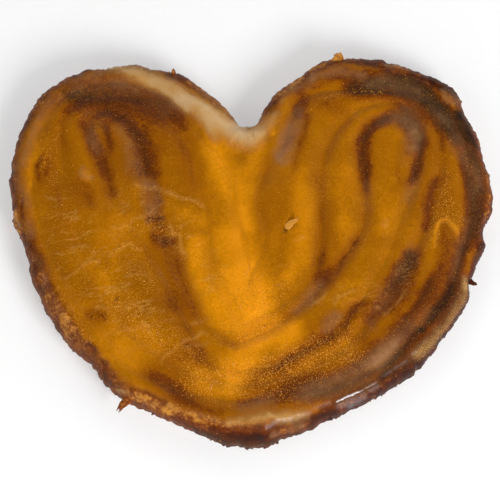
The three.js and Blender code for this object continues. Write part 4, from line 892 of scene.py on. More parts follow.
ridgeStrokes = [
    (0.3, 0.5, [(-27.6, 5.4, 1.4)]), (0.25, 0.5, [(-26.6, 2.7, 1.2)]),
    (0.25, 0.4, [(-24, 4.4, 1.6), (-22, 4.4, 1)]),
    (0.3, 0.6, [(-45, 20.8, 1), (-44.4, 19.4, 2.4), (-43.8, 18.6, 1.6)]),
    (0.32, 0.4, [(49.8, 5.6, 0.5), (51.5, 6.8, 0.7), (53.4, 6.4, 0.7), (55, 4.4, 0.7), (55.8, 1, 0.7),
        (55.3, -2, 0.5)]),
    (0.15, 0.4, [(49.8, 5, 0.5), (49.4, 2, 0.6), (49.2, -1, 0.5)]), (0.12, 0.8, [(52, 3, 3)]),
    (0.42, 1.1, [(22.6, -43.4, 1.6), (27.6, -41.4, 2.4), (33.2, -38.2, 1.6)]),
    (0.5, 0.6, [(53.8, 43.8, 1.4), (55.8, 41, 1.8)]), (0.2, 0.4, [(24.2, -43.8, 0.8)]),
    (0.16, 0.4, [(26.4, -42.2, 1)]), (0.2, 0.4, [(28.6, -41.8, 0.9)]), (-0.16, 0.4, [(30.2, -40.6, 0.8)]),
    (0.18, 0.4, [(31.8, -39.8, 0.8)]), (-0.16, 0.4, [(25.4, -43, 0.6)]), (-0.14, 0.4, [(27.6, -41.6, 0.6)]),
    (0.2, 0.9, [(12.4, 35, 1.6), (10.6, 30, 2), (9, 25.4, 2.6)]), (-0.3, 0.35, [(-35.3, -15.4, 0.9)]),
    (-0.25, 0.3, [(43.4, 5.2, 0.7)]),
    (-0.25, 0.3, [(-36, 35.6, 0.3), (-34.6, 36.6, 0.5), (-33.2, 37.6, 0.3)]),
    (-0.3, 0.3, [(0.5, 32, 0.3), (0.6, 30.6, 0.5), (1.2, 30, 0.5), (2, 30.2, 0.3)]),
    (-0.2, 0.4, [(9.2, 3, 0.5), (10.3, 4.8, 0.9), (12.5, 5.7, 0.8)]),
    (-0.2, 0.4, [(-30, 19.4, 0.3), (-28.4, 20.2, 0.5)]),
]

rng = np.random.default_rng(rimSeed)


# sRGB 0-255 to the linear colour a node takes.
def colour(red, green, blue):
    share = np.array([red, green, blue]) / 255.0
    linear = np.where(share <= 0.04045, share / 12.92, ((share + 0.055) / 1.055) ** 2.4)
    return (*linear.tolist(), 1.0)


# Colour stops from (place, red, green, blue).
def colourStops(*stops):
    return [(position, colour(*shade)) for position, *shade in stops]


# A material with the given plain values on its shader: material, node tree, shader.
def newMaterial(name, **values):
    material = bpy.data.materials.new(name)
    material.use_nodes = True
    shader = material.node_tree.nodes["Principled BSDF"]
    for key, value in values.items():
        shader.inputs[key.replace("_", " ")].default_value = value
    return material, material.node_tree, shader


# A node whose named properties and inputs are set; an input's blanks are written as underscores.
def addNode(tree, kind, **values):
    node = tree.nodes.new(kind)
    for key, value in values.items():
        if hasattr(node, key):
            setattr(node, key, value)
        else:
            node.inputs[key.replace("_", " ")].default_value = value
    return node


# Each socket takes a link where it is given another socket, and a plain value otherwise.
def feed(tree, sockets, values):
    for socket, value in zip(sockets, values):
        if isinstance(value, bpy.types.NodeSocket):
            tree.links.new(value, socket)
        else:
            socket.default_value = value


# The first colour turned into the second by the factor.
def mixColour(tree, factor, first, second):
    node = addNode(tree, "ShaderNodeMix", data_type="RGBA")
    feed(tree, (node.inputs[0], node.inputs[6], node.inputs[7]), (factor, first, second))
    return node.outputs[2]


# Two numbers joined; an operation on one number leaves the second out.
def calculate(tree, operation, first, second=0.0, clamp=False):
    node = addNode(tree, "ShaderNodeMath", operation=operation, use_clamp=clamp)
    feed(tree, node.inputs[:2], (first, second))
    return node.outputs[0]


# A mask that is stored on the mesh.
def attribute(tree, name):
    return addNode(tree, "ShaderNodeAttribute", attribute_name=name).outputs["Fac"]


# A colour read off the stops by the factor, straight between them.
def colourSteps(tree, factor, stops):
    node = tree.nodes.new("ShaderNodeValToRGB")
    band = node.color_ramp
    while len(band.elements) < len(stops):
        band.elements.new(0.5)
    for element, (position, value) in zip(band.elements, stops):
        element.position = position
        element.color = value
    tree.links.new(factor, node.inputs[0])
    return node.outputs[0]


# The shader's normal tilted by the slope of a height.
def addBump(tree, shader, height, strength, distance):
    bump = addNode(tree, "ShaderNodeBump", Strength=strength, Distance=distance)
    tree.links.new(height, bump.inputs["Height"])
    tree.links.new(bump.outputs["Normal"], shader.inputs["Normal"])


# A mask pushed up or down by noise where it is neither full nor bare, so that its edge frays.
def frayed(tree, mask, noise, amount):
    room = calculate(tree, "MULTIPLY", mask, calculate(tree, "SUBTRACT", 1.0, mask))
    push = calculate(tree, "MULTIPLY", calculate(tree, "SUBTRACT", noise, 0.5), 4 * amount)
    return calculate(tree, "ADD", mask, calculate(tree, "MULTIPLY", room, push), clamp=True)


# A node group whose inputs and outputs are all numbers.
def newGroup(name, inputs, outputs):
    group = bpy.data.node_groups.new(name, "ShaderNodeTree")
    for label, value in inputs.items():
        socket = group.interface.new_socket(label, in_out="INPUT", socket_type="NodeSocketFloat")
        socket.default_value = value
    for label in outputs:
        group.interface.new_socket(label, in_out="OUTPUT", socket_type="NodeSocketFloat")
    start = group.nodes.new("NodeGroupInput").outputs
    end = group.nodes.new("NodeGroupOutput").inputs
    place = addNode(group, "ShaderNodeTexCoord").outputs["Object"]
    return group, start, end, place


# Group: cloudy unevenness, a mask between 0 and 1 at a scale given in cells per metre.
def mottleGroup():
    inputs = {"Scale": 400.0, "Detail": 4.0, "Contrast": 1.0}
    group, start, end, place = newGroup("cloudyMottle", inputs, ["Mask"])
    noise = addNode(group, "ShaderNodeTexNoise")
    sockets = (noise.inputs[key] for key in ("Vector", "Scale", "Detail"))
    feed(group, sockets, (place, start["Scale"], start["Detail"]))
    centred = calculate(group, "SUBTRACT", noise.outputs["Fac"], 0.5)
    scaled = calculate(group, "MULTIPLY", centred, start["Contrast"])
    group.links.new(calculate(group, "ADD", scaled, 0.5, clamp=True), end["Mask"])
    return group


crystalShape = {
    "detail": 2.0, "roughness": 0.7,
    "GlintSpecks": (0.55, 0.72), "Gaps": (0.47, 0.3),  # noise at which each mask starts and is full
}


# Group: sugar crust, the height of fine lumps, a mask of bright specks on the lumps (pale sugar that also
# stands in for its glints as painted highlights), and one of dark gaps between them.
def crystalGroup(shape):
    outputs = ["Height", "GlintSpecks", "Gaps"]
    group, start, end, place = newGroup("sugarCrystals", {"Amount": 0.5, "Scale": 3000.0}, outputs)
    lumps = addNode(group, "ShaderNodeTexNoise", Detail=shape["detail"], Roughness=shape["roughness"])
    feed(group, (lumps.inputs["Vector"], lumps.inputs["Scale"]), (place, start["Scale"]))
    for output in ("GlintSpecks", "Gaps"):
        low, high = shape[output]
        picked = addNode(group, "ShaderNodeMapRange", clamp=True, From_Min=low, From_Max=high)
        group.links.new(lumps.outputs["Fac"], picked.inputs["Value"])
        group.links.new(calculate(group, "MULTIPLY", picked.outputs[0], start["Amount"]), end[output])
    group.links.new(calculate(group, "MULTIPLY", lumps.outputs["Fac"], start["Amount"]), end["Height"])
    return group


crinkleShape = {
    "heading": -17,  # degrees
    "perMetre": (85, 300, 200), "detail": 4.0, "roughness": 0.6,
}


# Group: wrinkles in the glaze, thin light lines where stretched noise crosses its middle.
def crinkleGroup(shape):
    group, start, end, place = newGroup("glazeCrinkles", {"Amount": 0.5, "Width": 0.03}, ["Lines"])
    heading = math.radians(shape["heading"])
    turned = addNode(group, "ShaderNodeVectorRotate", rotation_type="Z_AXIS", Angle=heading)
    stretched = addNode(group, "ShaderNodeVectorMath", operation="MULTIPLY")
    detail = {"Detail": shape["detail"], "Roughness": shape["roughness"]}
    noise = addNode(group, "ShaderNodeTexNoise", Scale=1.0, **detail)
    lines = addNode(group, "ShaderNodeMapRange", clamp=True, To_Min=1.0, To_Max=0.0)
    group.links.new(place, turned.inputs["Vector"])
    feed(group, stretched.inputs[:2], (turned.outputs[0], shape["perMetre"]))
    group.links.new(stretched.outputs[0], noise.inputs["Vector"])
    folded = calculate(group, "ABSOLUTE", calculate(group, "SUBTRACT", noise.outputs["Fac"], 0.5))
    feed(group, (lines.inputs["Value"], lines.inputs["From Max"]), (folded, start["Width"]))
    group.links.new(calculate(group, "MULTIPLY", lines.outputs[0], start["Amount"]), end["Lines"])
    return group


mottle = mottleGroup()
crystals = crystalGroup(crystalShape)
crinkles = crinkleGroup(crinkleShape)


# A shared group's outputs, its inputs fed by name.
def useGroup(tree, group, **values):
    node = addNode(tree, "ShaderNodeGroup", node_tree=group)
    for key, value in values.items():
        feed(tree, [node.inputs[key]], [value])
    return node.outputs


# The mottle's mask at a scale, detail and contrast.
def mottled(tree, scale, detail, contrast):
    return useGroup(tree, mottle, Scale=scale, Detail=detail, Contrast=contrast)["Mask"]


crustFinish = {
    "honey": colourStops((0.0, 126, 72, 0), (0.4, 163, 99, 0), (0.75, 201, 126, 2), (1.0, 240, 152, 16)),
    "toastAndShade": colourStops((0.0, 134, 66, 0), (0.5, 108, 50, 4), (0.75, 82, 38, 12), (1.0, 52, 26, 14)),
    "wall": colourStops((0.0, 50, 18, 4), (0.35, 92, 38, 6), (0.65, 130, 68, 18), (1.0, 206, 142, 54)),
    "charAndShadow": colour(30, 22, 16), "speckGlint": colour(244, 172, 56), "gap": colour(112, 56, 4),
    "wrinkle": colour(222, 166, 84),
    "fine": (1100.0, 4.0, 1.6), "broad": (170.0, 3.0, 1.4), "patches": (230.0, 2.0, 3.0),  # mottles
    "crystals": 2700.0,  # cells per metre
    "crinkleWidth": 0.03,
    "gapShare": 0.7, "speckGlintShare": 0.75, "crinkleShare": 0.46, "crestShare": 0.2,
    "glowFray": (0.3, 0.35), "toastFray": 0.3, "toneFray": 0.8, "wallFray": 0.6, "charAndShadowFray": 0.5,
    "roughness": 0.55, "shine": 0.03, "coatIOR": 1.7, "coatRoughness": 0.22,
    "bump": (0.7, 0.00012),
}


# Baked crust under clear glaze. The painted masks choose honey, browned, burnt, sugared and wrinkled places
# and the bare crumb of the wall; cloudy noise frays their edges. Some of it is painted light: sheen in the
# brightest honey, glints on the sugar's specks, shade on the front right shoulder, and a shadow under the
# lifted flake and in a pit.
def crustMaterial(finish):
    material, tree, shader = newMaterial(
        "glazedCrust", Roughness=finish["roughness"], Specular_IOR_Level=finish["shine"],
        Coat_IOR=finish["coatIOR"], Coat_Roughness=finish["coatRoughness"],
    )
    fine, broad, patches = (mottled(tree, *finish[key]) for key in ("fine", "broad", "patches"))
    sugar = useGroup(tree, crystals, Scale=finish["crystals"], Amount=attribute(tree, "sugar"))
    glow = frayed(tree, attribute(tree, "glow"), broad, finish["glowFray"][0])
    glow = frayed(tree, glow, fine, finish["glowFray"][1])
    toastAndShade = frayed(tree, attribute(tree, "toastAndShade"), fine, finish["toastFray"])
    wall = frayed(tree, attribute(tree, "wall"), fine, finish["wallFray"])
    tone = frayed(tree, attribute(tree, "wallTone"), fine, finish["toneFray"])
    ridged = calculate(tree, "MULTIPLY", attribute(tree, "crinkle"), patches)
    wrinkled = useGroup(tree, crinkles, Width=finish["crinkleWidth"], Amount=ridged)["Lines"]
    layers = [
        # browned places, with painted shade on the front right shoulder
        (calculate(tree, "MULTIPLY", toastAndShade, 2.0, clamp=True), colourSteps(tree, toastAndShade, finish["toastAndShade"])),
        (wall, colourSteps(tree, tone, finish["wall"])),
        # near black for burnt places, and for the painted shadow under the flake and in the pit
        (frayed(tree, attribute(tree, "charAndShadow"), fine, finish["charAndShadowFray"]), finish["charAndShadow"]),
        (calculate(tree, "MULTIPLY", sugar["Gaps"], finish["gapShare"]), finish["gap"]),
        # pale sugar specks, partly painted glints
        (calculate(tree, "MULTIPLY", sugar["GlintSpecks"], finish["speckGlintShare"]), finish["speckGlint"]),
        (calculate(tree, "MULTIPLY", wrinkled, finish["crinkleShare"]), finish["wrinkle"]),
        (calculate(tree, "MULTIPLY", attribute(tree, "crest"), finish["crestShare"]), finish["wrinkle"]),
    ]
    # honey tone, brighter where the glow mask holds painted sheen
    shade = colourSteps(tree, glow, finish["honey"])
    for factor, over in layers:
        shade = mixColour(tree, factor, shade, over)
    feed(tree, (shader.inputs["Base Color"], shader.inputs["Coat Weight"]), (shade, attribute(tree, "wet")))
    addBump(tree, shader, sugar["Height"], *finish["bump"])
    return material


crust = crustMaterial(crustFinish)
print("crust material made")


# The wall's points from below the belly to the foot: the profile stepped in towards the outer fold, with
# slow raggedness, lumps and sheets. Sheets are a zigzag of the height that wanders along the rim.
def buildWall(rim, outer, places, ringIds, sizes):
    profile = np.array(sizes["wallSection"])
    heights = np.linspace(profile[0, 1], 0, sizes["wallRows"] + 1)[1:]
    inset = np.interp(-heights, -profile[:, 1], profile[:, 0])
    ragged = np.interp(-heights, -profile[:, 1], profile[:, 2])
    start = rim[ringIds, :2]
    inward = outer[ringIds, :2] - start
    inward[0] = rim[0, :2] - start[0]
    inward /= np.linalg.norm(inward, axis=1, keepdims=True)
    along = (places[ringIds] * sizes["stepLength"])[None, :]
    level = heights[:, None]
    broad, lump, sheet = sizes["wallSlow"], sizes["wallLumps"], sizes["wallSheets"]
    slow = waver(places[ringIds][None, :] * broad["perStep"] + level * broad["perHeight"])
    lumps = noise2(along * lump["rate"], level * lump["rate"] + 0 * along, lump["seed"])
    wander = sheet["wander"] * waver(along * sheet["alongRate"], sheet["seed"])
    sheets = np.abs(((level * sheet["perHeight"] + wander + sheet["lumps"] * lumps) % 1.0) * 2 - 1)
    foot = np.minimum(1, level / sizes["footHeight"])
    rough = sheet["share"] * sheets - sheet["share"] / 2 - lump["share"] * lumps
    depth = inset[:, None] + ragged[:, None] * broad["share"] * slow + sizes["blister"] * foot * rough
    depth[:, 0] = inset
    flat = start[None] + inward[None] * depth[:, :, None]
    return np.dstack([flat, np.repeat(level, len(ringIds), axis=1)])


# The underside: flat pads between shallow creases.
def buildUnderside(lines, sizes):
    rows, bands, shares = planRows(lines, sizes["undersideRows"], sizes["crowding"])
    lift = np.zeros(rows.shape[:2])
    for k, (band, share) in enumerate(zip(bands, shares)):
        if band > 0 and share < sizes["creaseShare"]:
            lift[k] = sizes["undersideCrease"] * lines[band][:, 2] * (1 - share / sizes["creaseShare"])
    return np.dstack([rows, lift])


# The pastry: glazed top, ragged wall and flat underside in one closed skin, on which kind is 0, 1 and 2.
def buildPastry(sizes):
    places = coarsePlaces(sizes)
    rim = roughenRim(sampleLine("rim", sizes), places, sizes)
    lines = [rim] + [sampleLine(name, sizes) for name in ("outer", "middle", "inner")] + [sampleCore(sizes)]
    around = len(rim)
    legs = sizes["fine"]["leg"]
    outline = rim[legs:around - legs + 1, :2]
    ringIds = np.arange(legs, around - legs)

    rows, bands, shares = planRows(lines, sizes["topRows"], sizes["crowding"])
    distance = distanceToLine(rows.reshape(-1, 2), outline).reshape(rows.shape[:2])
    fade = np.minimum(1, distance / sizes["shoulderWidth"])
    folds = np.array([relief(lines, band, share, sizes) for band, share in zip(bands, shares)])
    x, y = rows[:, :, 0], rows[:, :, 1]
    grain = sum(roughness2(x, y, size, seed) * height for height, size, seed in sizes["grains"])
    top = np.dstack([rows, shoulder(distance, sizes) + fade * (folds + sway(x, y, sizes) + grain)])
    top[:, :, 2] += ridges(slanted(top.reshape(-1, 3)), wrinkleStrokes + ridgeStrokes).reshape(x.shape)
    wall = buildWall(rim, lines[1], places, ringIds, sizes)
    under = buildUnderside(lines, sizes)

    # vertex numbers; the slit's two sides and the underside's outermost row share vertices
    parts = [top, wall, under]
    counts = [part.size // 3 for part in parts]
    firsts = [0, counts[0], counts[0] + counts[1]]
    topIds, wallIds, underIds = (
        first + np.arange(count).reshape(part.shape[:2])
        for first, count, part in zip(firsts, counts, parts)
    )
    topIds[0, around - legs:] = topIds[0, legs:0:-1]
    underIds[0, around - legs:] = underIds[0, legs:0:-1]
    underIds[0, ringIds] = wallIds[-1]
    underIds[0, around - legs] = wallIds[-1, 0]
    points = np.vstack([part.reshape(-1, 3) for part in parts])
    wallTop = np.vstack([topIds[0, ringIds], wallIds])
    faces = [
        rowFaces(topIds, True, True), zipCore(topIds[-1], sizes, True), rowFaces(wallTop, True, False),
        rowFaces(underIds, True, False), zipCore(underIds[-1], sizes, False),
    ]
    used, fresh = np.unique(np.concatenate([group.ravel() for group in faces]), return_inverse=True)
    split = np.cumsum([group.size for group in faces])[:-1]
    faces = [part.reshape(group.shape) for part, group in zip(np.split(fresh.ravel(), split), faces)]
    kind = np.repeat([0.0, 1.0, 2.0], counts)
    streaks = np.zeros(len(points))
    streaks[:counts[0]] = foldStreaks(rows, places, sizes).ravel()
    farIn = 9.0  # stands for the distance from the outline all over the underside
    edgeDistance = np.concatenate([distance.ravel(), np.zeros(counts[1]), np.full(counts[2], farIn)])
    print("pastry", len(used), "vertices")
    return {"points": points[used], "faces": faces, "kind": kind[used], "distance": edgeDistance[used],
            "streaks": streaks[used], "top": top, "topDistance": distance, "outline": outline}


pastry = buildPastry(pastrySizes)

# Noise is (size, seed), and how far strokes bend (size, reach, seed).
crustPaint = {
    "bends": ((9.0, 0.8, 81), (2.4, 0.5, 91)), "rimBend": (1.8, 0.7, 181),
    "blotch": (9, 101), "cloud": (3, 151), "grain": (1.4, 111),
    "layers": {"around": 15, "slope": 0.8, "within": 8, "perHeight": 1.1, "seed": 171},
    "front": (30, 40), "wallTop": (3.0, 8.0),  # -y and z over which the strokes reach down the wall
    "tone": {"base": 0.38, "layers": 0.34, "grain": 0.3, "tan": 0.45, "foot": 0.2},
    "footLevel": (1.0, 4.0),
    "toastAndShade": {
        "softer": 1.8, "breakStreaks": 0.1, "breakCloud": 0.12,
        "base": 0.06, "streaks": 0.05, "blotch": 0.08,
    },
    "underToast": {"base": 0.4, "blotch": 0.3, "cloud": 0.2},
    "glow": {
        "base": 0.36, "bright": 0.62, "dull": 0.36,
        "blotch": 0.1, "streaks": 0.07, "cloud": 0.08, "under": 0.3,
    },
    "sugar": {"base": 0.26, "cloud": 0.15, "painted": 0.9, "softer": 1.6, "crinkled": 0.3},
    "charAndShadowBreak": 0.3, "crestHeight": 0.16, "edgeBand": (0.3, 1.4),
    "wall": {"front": 0.35, "edge": 0.92},
    "wet": {"base": 0.04, "painted": 0.96, "wall": 0.12, "under": 0.03, "edge": 0.07},
}


# The masks of the crust's material at every vertex. Streaks break up whatever is neither full nor bare.
def crustMasks(pastry, values):
    points, kind, distance, streaks = (pastry[key] for key in ("points", "kind", "distance", "streaks"))
    places = slanted(points)
    bent = wobbleTwice(places, *values["bends"])
    x, y, z = points.T
    onTop, onWall = kind == 0, kind == 1
    front = ramp(-y, *values["front"]) * ramp(z, *values["wallTop"])
    painted = np.where(onTop, 1.0, np.where(onWall, front, 0.0))
    blotch, cloud, grain = (roughness2(x, y, *values[key]) for key in ("blotch", "cloud", "grain"))
    layer = values["layers"]
    depth = (z - layer["slope"] * np.minimum(distance, layer["within"])) * layer["perHeight"]
    layers = roughness2(np.arctan2(y, x) * layer["around"], depth, 1.0, layer["seed"])
    broken = lambda mask, amount: np.clip(mask + amount * 4 * mask * (1 - mask), 0, 1)

    tone = values["tone"]
    wallTone = tone["base"] + tone["layers"] * layers + tone["grain"] * grain
    # less the darker rim places, which include painted shade on the front right shoulder
    wallTone = wallTone + tone["tan"] * paint(places, tanStrokes) - paint(places, darkRimAndShadeStrokes)
    wallTone = wallTone + tone["foot"] * (1 - ramp(z, *values["footLevel"]))
    brown = values["toastAndShade"]
    # browned seams and patches, and one stroke of painted shade on the front right shoulder
    toastAndShade = paint(bent, toastAndShadeStrokes, brown["softer"])
    toastAndShade = broken(toastAndShade, brown["breakStreaks"] * streaks + brown["breakCloud"] * cloud)
    toastAndShade = np.clip(toastAndShade + brown["base"] + brown["streaks"] * streaks + brown["blotch"] * blotch, 0, 1)
    under = values["underToast"]
    crinkled = paint(places, crinkleStrokes)
    honey = values["glow"]
    # brighter honey, partly painted sheen down the middle
    glow = honey["base"] + honey["bright"] * paint(bent, glowStrokes)
    glow = glow - honey["dull"] * paint(bent, dullStrokes)
    glow = glow + honey["blotch"] * blotch + honey["streaks"] * streaks + honey["cloud"] * cloud
    edge = paint(wobble(bent, *values["rimBend"]), rimStrokes)
    edge = np.maximum(1 - ramp(distance, *values["edgeBand"]), edge)
    grains = values["sugar"]
    sugar = grains["base"] + grains["cloud"] * cloud
    sugar = sugar + grains["painted"] * paint(bent, sugarStrokes, grains["softer"])
    sugar = (1 - edge) * np.clip(sugar + grains["crinkled"] * crinkled, 0, 1)
    crest = np.clip(ridges(bent, wrinkleStrokes) / values["crestHeight"], 0, 1)
    wall, wet = values["wall"], values["wet"]
    topWet = wet["base"] + wet["painted"] * paint(bent, wetStrokes)
    underside = under["base"] + under["blotch"] * blotch + under["cloud"] * cloud
    return {
        "glow": np.where(kind == 2, honey["under"], np.clip(glow, 0, 1)),
        "toastAndShade": np.where(kind == 2, underside, toastAndShade),
        # burnt places, with the painted shadow under the flake and in the pit
        "charAndShadow": broken(paint(bent, charAndShadowStrokes), values["charAndShadowBreak"] * cloud) * painted,
        "sugar": np.where(onTop, sugar, 0.0),
        "crinkle": np.where(onTop, crinkled, 0.0),
        "crest": np.where(onTop, crest, 0.0),
        "wall": np.where(onWall, 1 - wall["front"] * painted, np.where(onTop, wall["edge"] * edge, 0.0)),
        "wallTone": np.clip(wallTone, 0, 1),
        "wet": np.where(onTop, topWet + wet["edge"] * edge, np.where(onWall, wet["wall"], wet["under"])),
    }


palmier = makeMesh("palmierPastry", pastry["points"], pastry["faces"], crust)
for name, values in crustMasks(pastry, crustPaint).items():
    setAttribute(palmier, name, values)
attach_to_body(palmier, "root")
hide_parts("palmier")
print("pastry done")

glazeSizes = {
    "lift": 0.06, "mostTwist": 0.25, "veilHeight": 0.07, "creamHeight": 0.4,
    "thickness": 0.65,  # more than the glaze's height, so that its inner side stays in the crust
    "least": 0.012,  # glaze that hides less than this share of the crust is left out
    "bends": ((9.0, 0.8, 81), (1.6, 0.5, 191)),  # how strokes bend: size, reach, seed
    "veilSofter": 1.7, "creamSofter": 1.25,
    "cloud": (4.0, 201), "cloudVeil": 0.8, "cloudCream": (0.9, 0.1),  # noise as (size, seed), and its share
    "fray": (1.0, 221), "frayReach": 0.25, "thin": (0.1, 0.8),  # where it thins beside the outline
    "clearing": 0.7, "clearFrom": (0.2, 0.6),  # cream that hides the crust for good
    "grain": (1.2, 211), "grainHeight": 0.05,
    "shades": colourStops(
        (0.0, 188, 130, 80), (0.4, 206, 152, 78), (0.75, 206, 166, 112), (1.0, 216, 186, 150)
    ),
    "fine": (900.0, 4.0, 1.6), "broad": (260.0, 3.0, 1.4),  # mottles
    "creamFray": 0.5, "coverFray": (0.22, 0.25), "worn": colour(178, 138, 92), "wornShare": 0.35,
    "roughness": 0.4, "shine": 0.2, "coatRoughness": 0.12, "leastWet": 0.12,
    "bump": (0.35, 0.0001),
}


# Quads of a grid whose columns close, kept where any corner is marked. Corners at the same place become one,
# and the rest are renumbered.
def keptQuads(marked, points):
    quads = rowFaces(np.arange(marked.size).reshape(marked.shape), True, True)
    quads = quads[marked.ravel()[quads].any(axis=1)]
    perMillimetre = 500  # corners in the same cell of this size are one
    cells = np.round(points[:, :2] * perMillimetre)
    first, same = np.unique(cells, axis=0, return_index=True, return_inverse=True)[1:]
    quads = first[same.ravel()[quads]]
    quads = quads[(quads != np.roll(quads, 1, axis=1)).all(axis=1)]
    used, fresh = np.unique(quads.ravel(), return_inverse=True)
    return used, fresh.reshape(quads.shape)


# Pale glaze under a clear coat: the cream mask, which also holds a painted highlight on the band by the
# notch, chooses its colour and the cover mask how much it hides.
def glazeMaterial(values):
    material, tree, shader = newMaterial(
        "milkyGlaze", Roughness=values["roughness"], Specular_IOR_Level=values["shine"],
        Coat_Roughness=values["coatRoughness"],
    )
    fine, broad = (mottled(tree, *values[key]) for key in ("fine", "broad"))
    creamAndHighlight = frayed(tree, attribute(tree, "creamAndHighlight"), broad, values["creamFray"])
    shade = colourSteps(tree, creamAndHighlight, values["shades"])
    shade = mixColour(tree, calculate(tree, "MULTIPLY", broad, values["wornShare"]), shade, values["worn"])
    cover = frayed(tree, attribute(tree, "cover"), fine, values["coverFray"][0])
    cover = frayed(tree, cover, broad, values["coverFray"][1])
    sockets = (shader.inputs[key] for key in ("Base Color", "Alpha", "Coat Weight"))
    feed(tree, sockets, (shade, cover, attribute(tree, "wet")))
    addBump(tree, shader, fine, *values["bump"])
    return material


# Milky glaze: a sheet that follows the top, raised along its normal where it is thick. Its height grows as a
# quarter circle from its edge inwards, and by half the gap between the two diagonals of each cell below it.
def buildGlaze(values):
    grid = pastry["top"]
    beside = np.roll(grid, -1, axis=1)
    twist = np.zeros(grid.shape[:2])
    twist[:-1] = np.linalg.norm(grid[:-1] - beside[:-1] + beside[1:] - grid[1:], axis=2) / 2
    twist = np.maximum(twist, np.roll(twist, 1, axis=1))
    twist[1:] = np.maximum(twist[1:], twist[:-1])
    places = slanted(grid.reshape(-1, 3))
    x, y = places.T
    bent = wobbleTwice(places, *values["bends"])
    cloud = 1 + values["cloudVeil"] * roughness2(x, y, *values["cloud"])
    plain, clouded = values["cloudCream"]
    reach = pastry["topDistance"].ravel() + values["frayReach"] * roughness2(x, y, *values["fray"])
    thin = ramp(reach, *values["thin"])
    veil = np.clip(paint(bent, veilStrokes, values["veilSofter"]) * cloud, 0, 1) * thin
    # thick cream glaze, with a painted highlight along the band by the notch
    creamAndHighlight = paint(bent, creamAndHighlightStrokes, values["creamSofter"]) * (plain + clouded * cloud)
    creamAndHighlight = np.clip(creamAndHighlight, 0, 1) * thin
    cleared = 1 - values["clearing"] * creamAndHighlight * ramp(creamAndHighlight, *values["clearFrom"])
    cover = 1 - (1 - veil) * (1 - creamAndHighlight) * cleared
    rounded = lambda mask: np.sqrt(np.clip(1 - (1 - mask) ** 2, 0, 1))
    height = values["lift"] + values["veilHeight"] * rounded(veil)
    height = height + values["creamHeight"] * rounded(creamAndHighlight) * creamAndHighlight
    height = height + np.minimum(twist.ravel(), values["mostTwist"])
    height = height + values["grainHeight"] * cover * roughness2(x, y, *values["grain"])
    across, along = np.gradient(grid, axis=0), beside - np.roll(grid, 1, axis=1)
    normal = np.cross(across, along).reshape(-1, 3)
    length = np.maximum(np.linalg.norm(normal, axis=1, keepdims=True), tiny)
    normal *= np.sign(np.median(normal[:, 2])) / length
    points = grid.reshape(-1, 3) + normal * height[:, None]
    used, quads = keptQuads((cover > values["least"]).reshape(grid.shape[:2]), points)
    piece = makeMesh("milkyGlaze", points[used], [quads], glazeMaterial(values))
    setAttribute(piece, "cover", cover[used])
    setAttribute(piece, "creamAndHighlight", creamAndHighlight[used])
    setAttribute(piece, "wet", np.clip(values["leastWet"] + paint(places, wetStrokes), 0, 1)[used])
    shell = piece.modifiers.new("thickness", "SOLIDIFY")
    shell.thickness = values["thickness"] * metre
    shell.offset = -1
    shell.use_rim = True
    return piece


# A piece rides on the one body.
def attach(piece):
    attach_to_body(piece, "root")


glaze = buildGlaze(glazeSizes)
attach(glaze)
print("glaze done", len(glaze.data.polygons), "faces")

# Small shapes that are copied with a turn, a size and a place of their own: a cube, and a lump with twenty
# faces whose corners lie about 1 from its middle.
cubeCorners = np.array([[x, y, z] for x in (-1, 1) for y in (-1, 1) for z in (-1, 1)], float)
cubeFaces = np.array([[0, 1, 3, 2], [4, 6, 7, 5], [0, 4, 5, 1], [2, 3, 7, 6], [0, 2, 6, 4], [1, 5, 7, 3]])
golden = (1 + 5 ** 0.5) / 2
lumpReach = 1.9
lumpCorners = np.array([[0, a, b * golden] for a in (-1, 1) for b in (-1, 1)], float)
lumpCorners = np.vstack([np.roll(lumpCorners, k, axis=1) for k in range(3)]) / lumpReach


# The twenty faces of the lump: every three corners that are all one edge apart, turned to face out.
def lumpTriangles():
    gaps = np.linalg.norm(lumpCorners[:, None] - lumpCorners[None], axis=2)
    slack = 1e-6  # for rounding in an edge's length
    near = np.abs(gaps - gaps[gaps > 0].min()) < slack
    a, b, c = (axis.ravel() for axis in np.indices((len(lumpCorners),) * 3))
    kept = near[a, b] & near[b, c] & near[a, c] & (a < b) & (b < c)
    faces = np.stack([a, b, c], axis=1)[kept]
    p, q, r = (lumpCorners[faces[:, k]] for k in range(3))
    inside = (np.cross(q - p, r - p) * (p + q + r)).sum(axis=1) < 0
    faces[inside] = faces[inside][:, ::-1]
    return faces


# Turns as 3 by 3 arrays, from random unit quaternions.
def randomTurns(count):
    w, x, y, z = np.moveaxis(rng.normal(size=(count, 4)), 1, 0)
    size = np.sqrt(w * w + x * x + y * y + z * z)
    w, x, y, z = w / size, x / size, y / size, z / size
    return np.stack([
        np.stack([1 - 2 * (y * y + z * z), 2 * (x * y - w * z), 2 * (x * z + w * y)], axis=1),
        np.stack([2 * (x * y + w * z), 1 - 2 * (x * x + z * z), 2 * (y * z - w * x)], axis=1),
        np.stack([2 * (x * z - w * y), 2 * (y * z + w * x), 1 - 2 * (x * x + y * y)], axis=1),
    ], axis=1)


# Copies of a small shape: corners jittered, scaled along three axes, turned and moved, all in one array.
def scatterShapes(corners, faces, centres, sizes, jitter):
    count = len(centres)
    local = corners[None] * (1 + jitter * rng.normal(size=(count, len(corners), 1)))
    local = local * sizes[:, None, :]
    points = np.einsum("nij,nkj->nki", randomTurns(count), local) + centres[:, None, :]
    shifted = faces[None] + (np.arange(count) * len(corners))[:, None, None]
    return points.reshape(-1, 3), shifted.reshape(-1, faces.shape[1])


# Sizes along three axes: one random size for each copy, times an unevenness along each axis.
def randomSizes(values):
    size = rng.uniform(values["least"], values["most"], (values["count"], 1))
    return size * rng.uniform(*values["uneven"], (values["count"], 3))


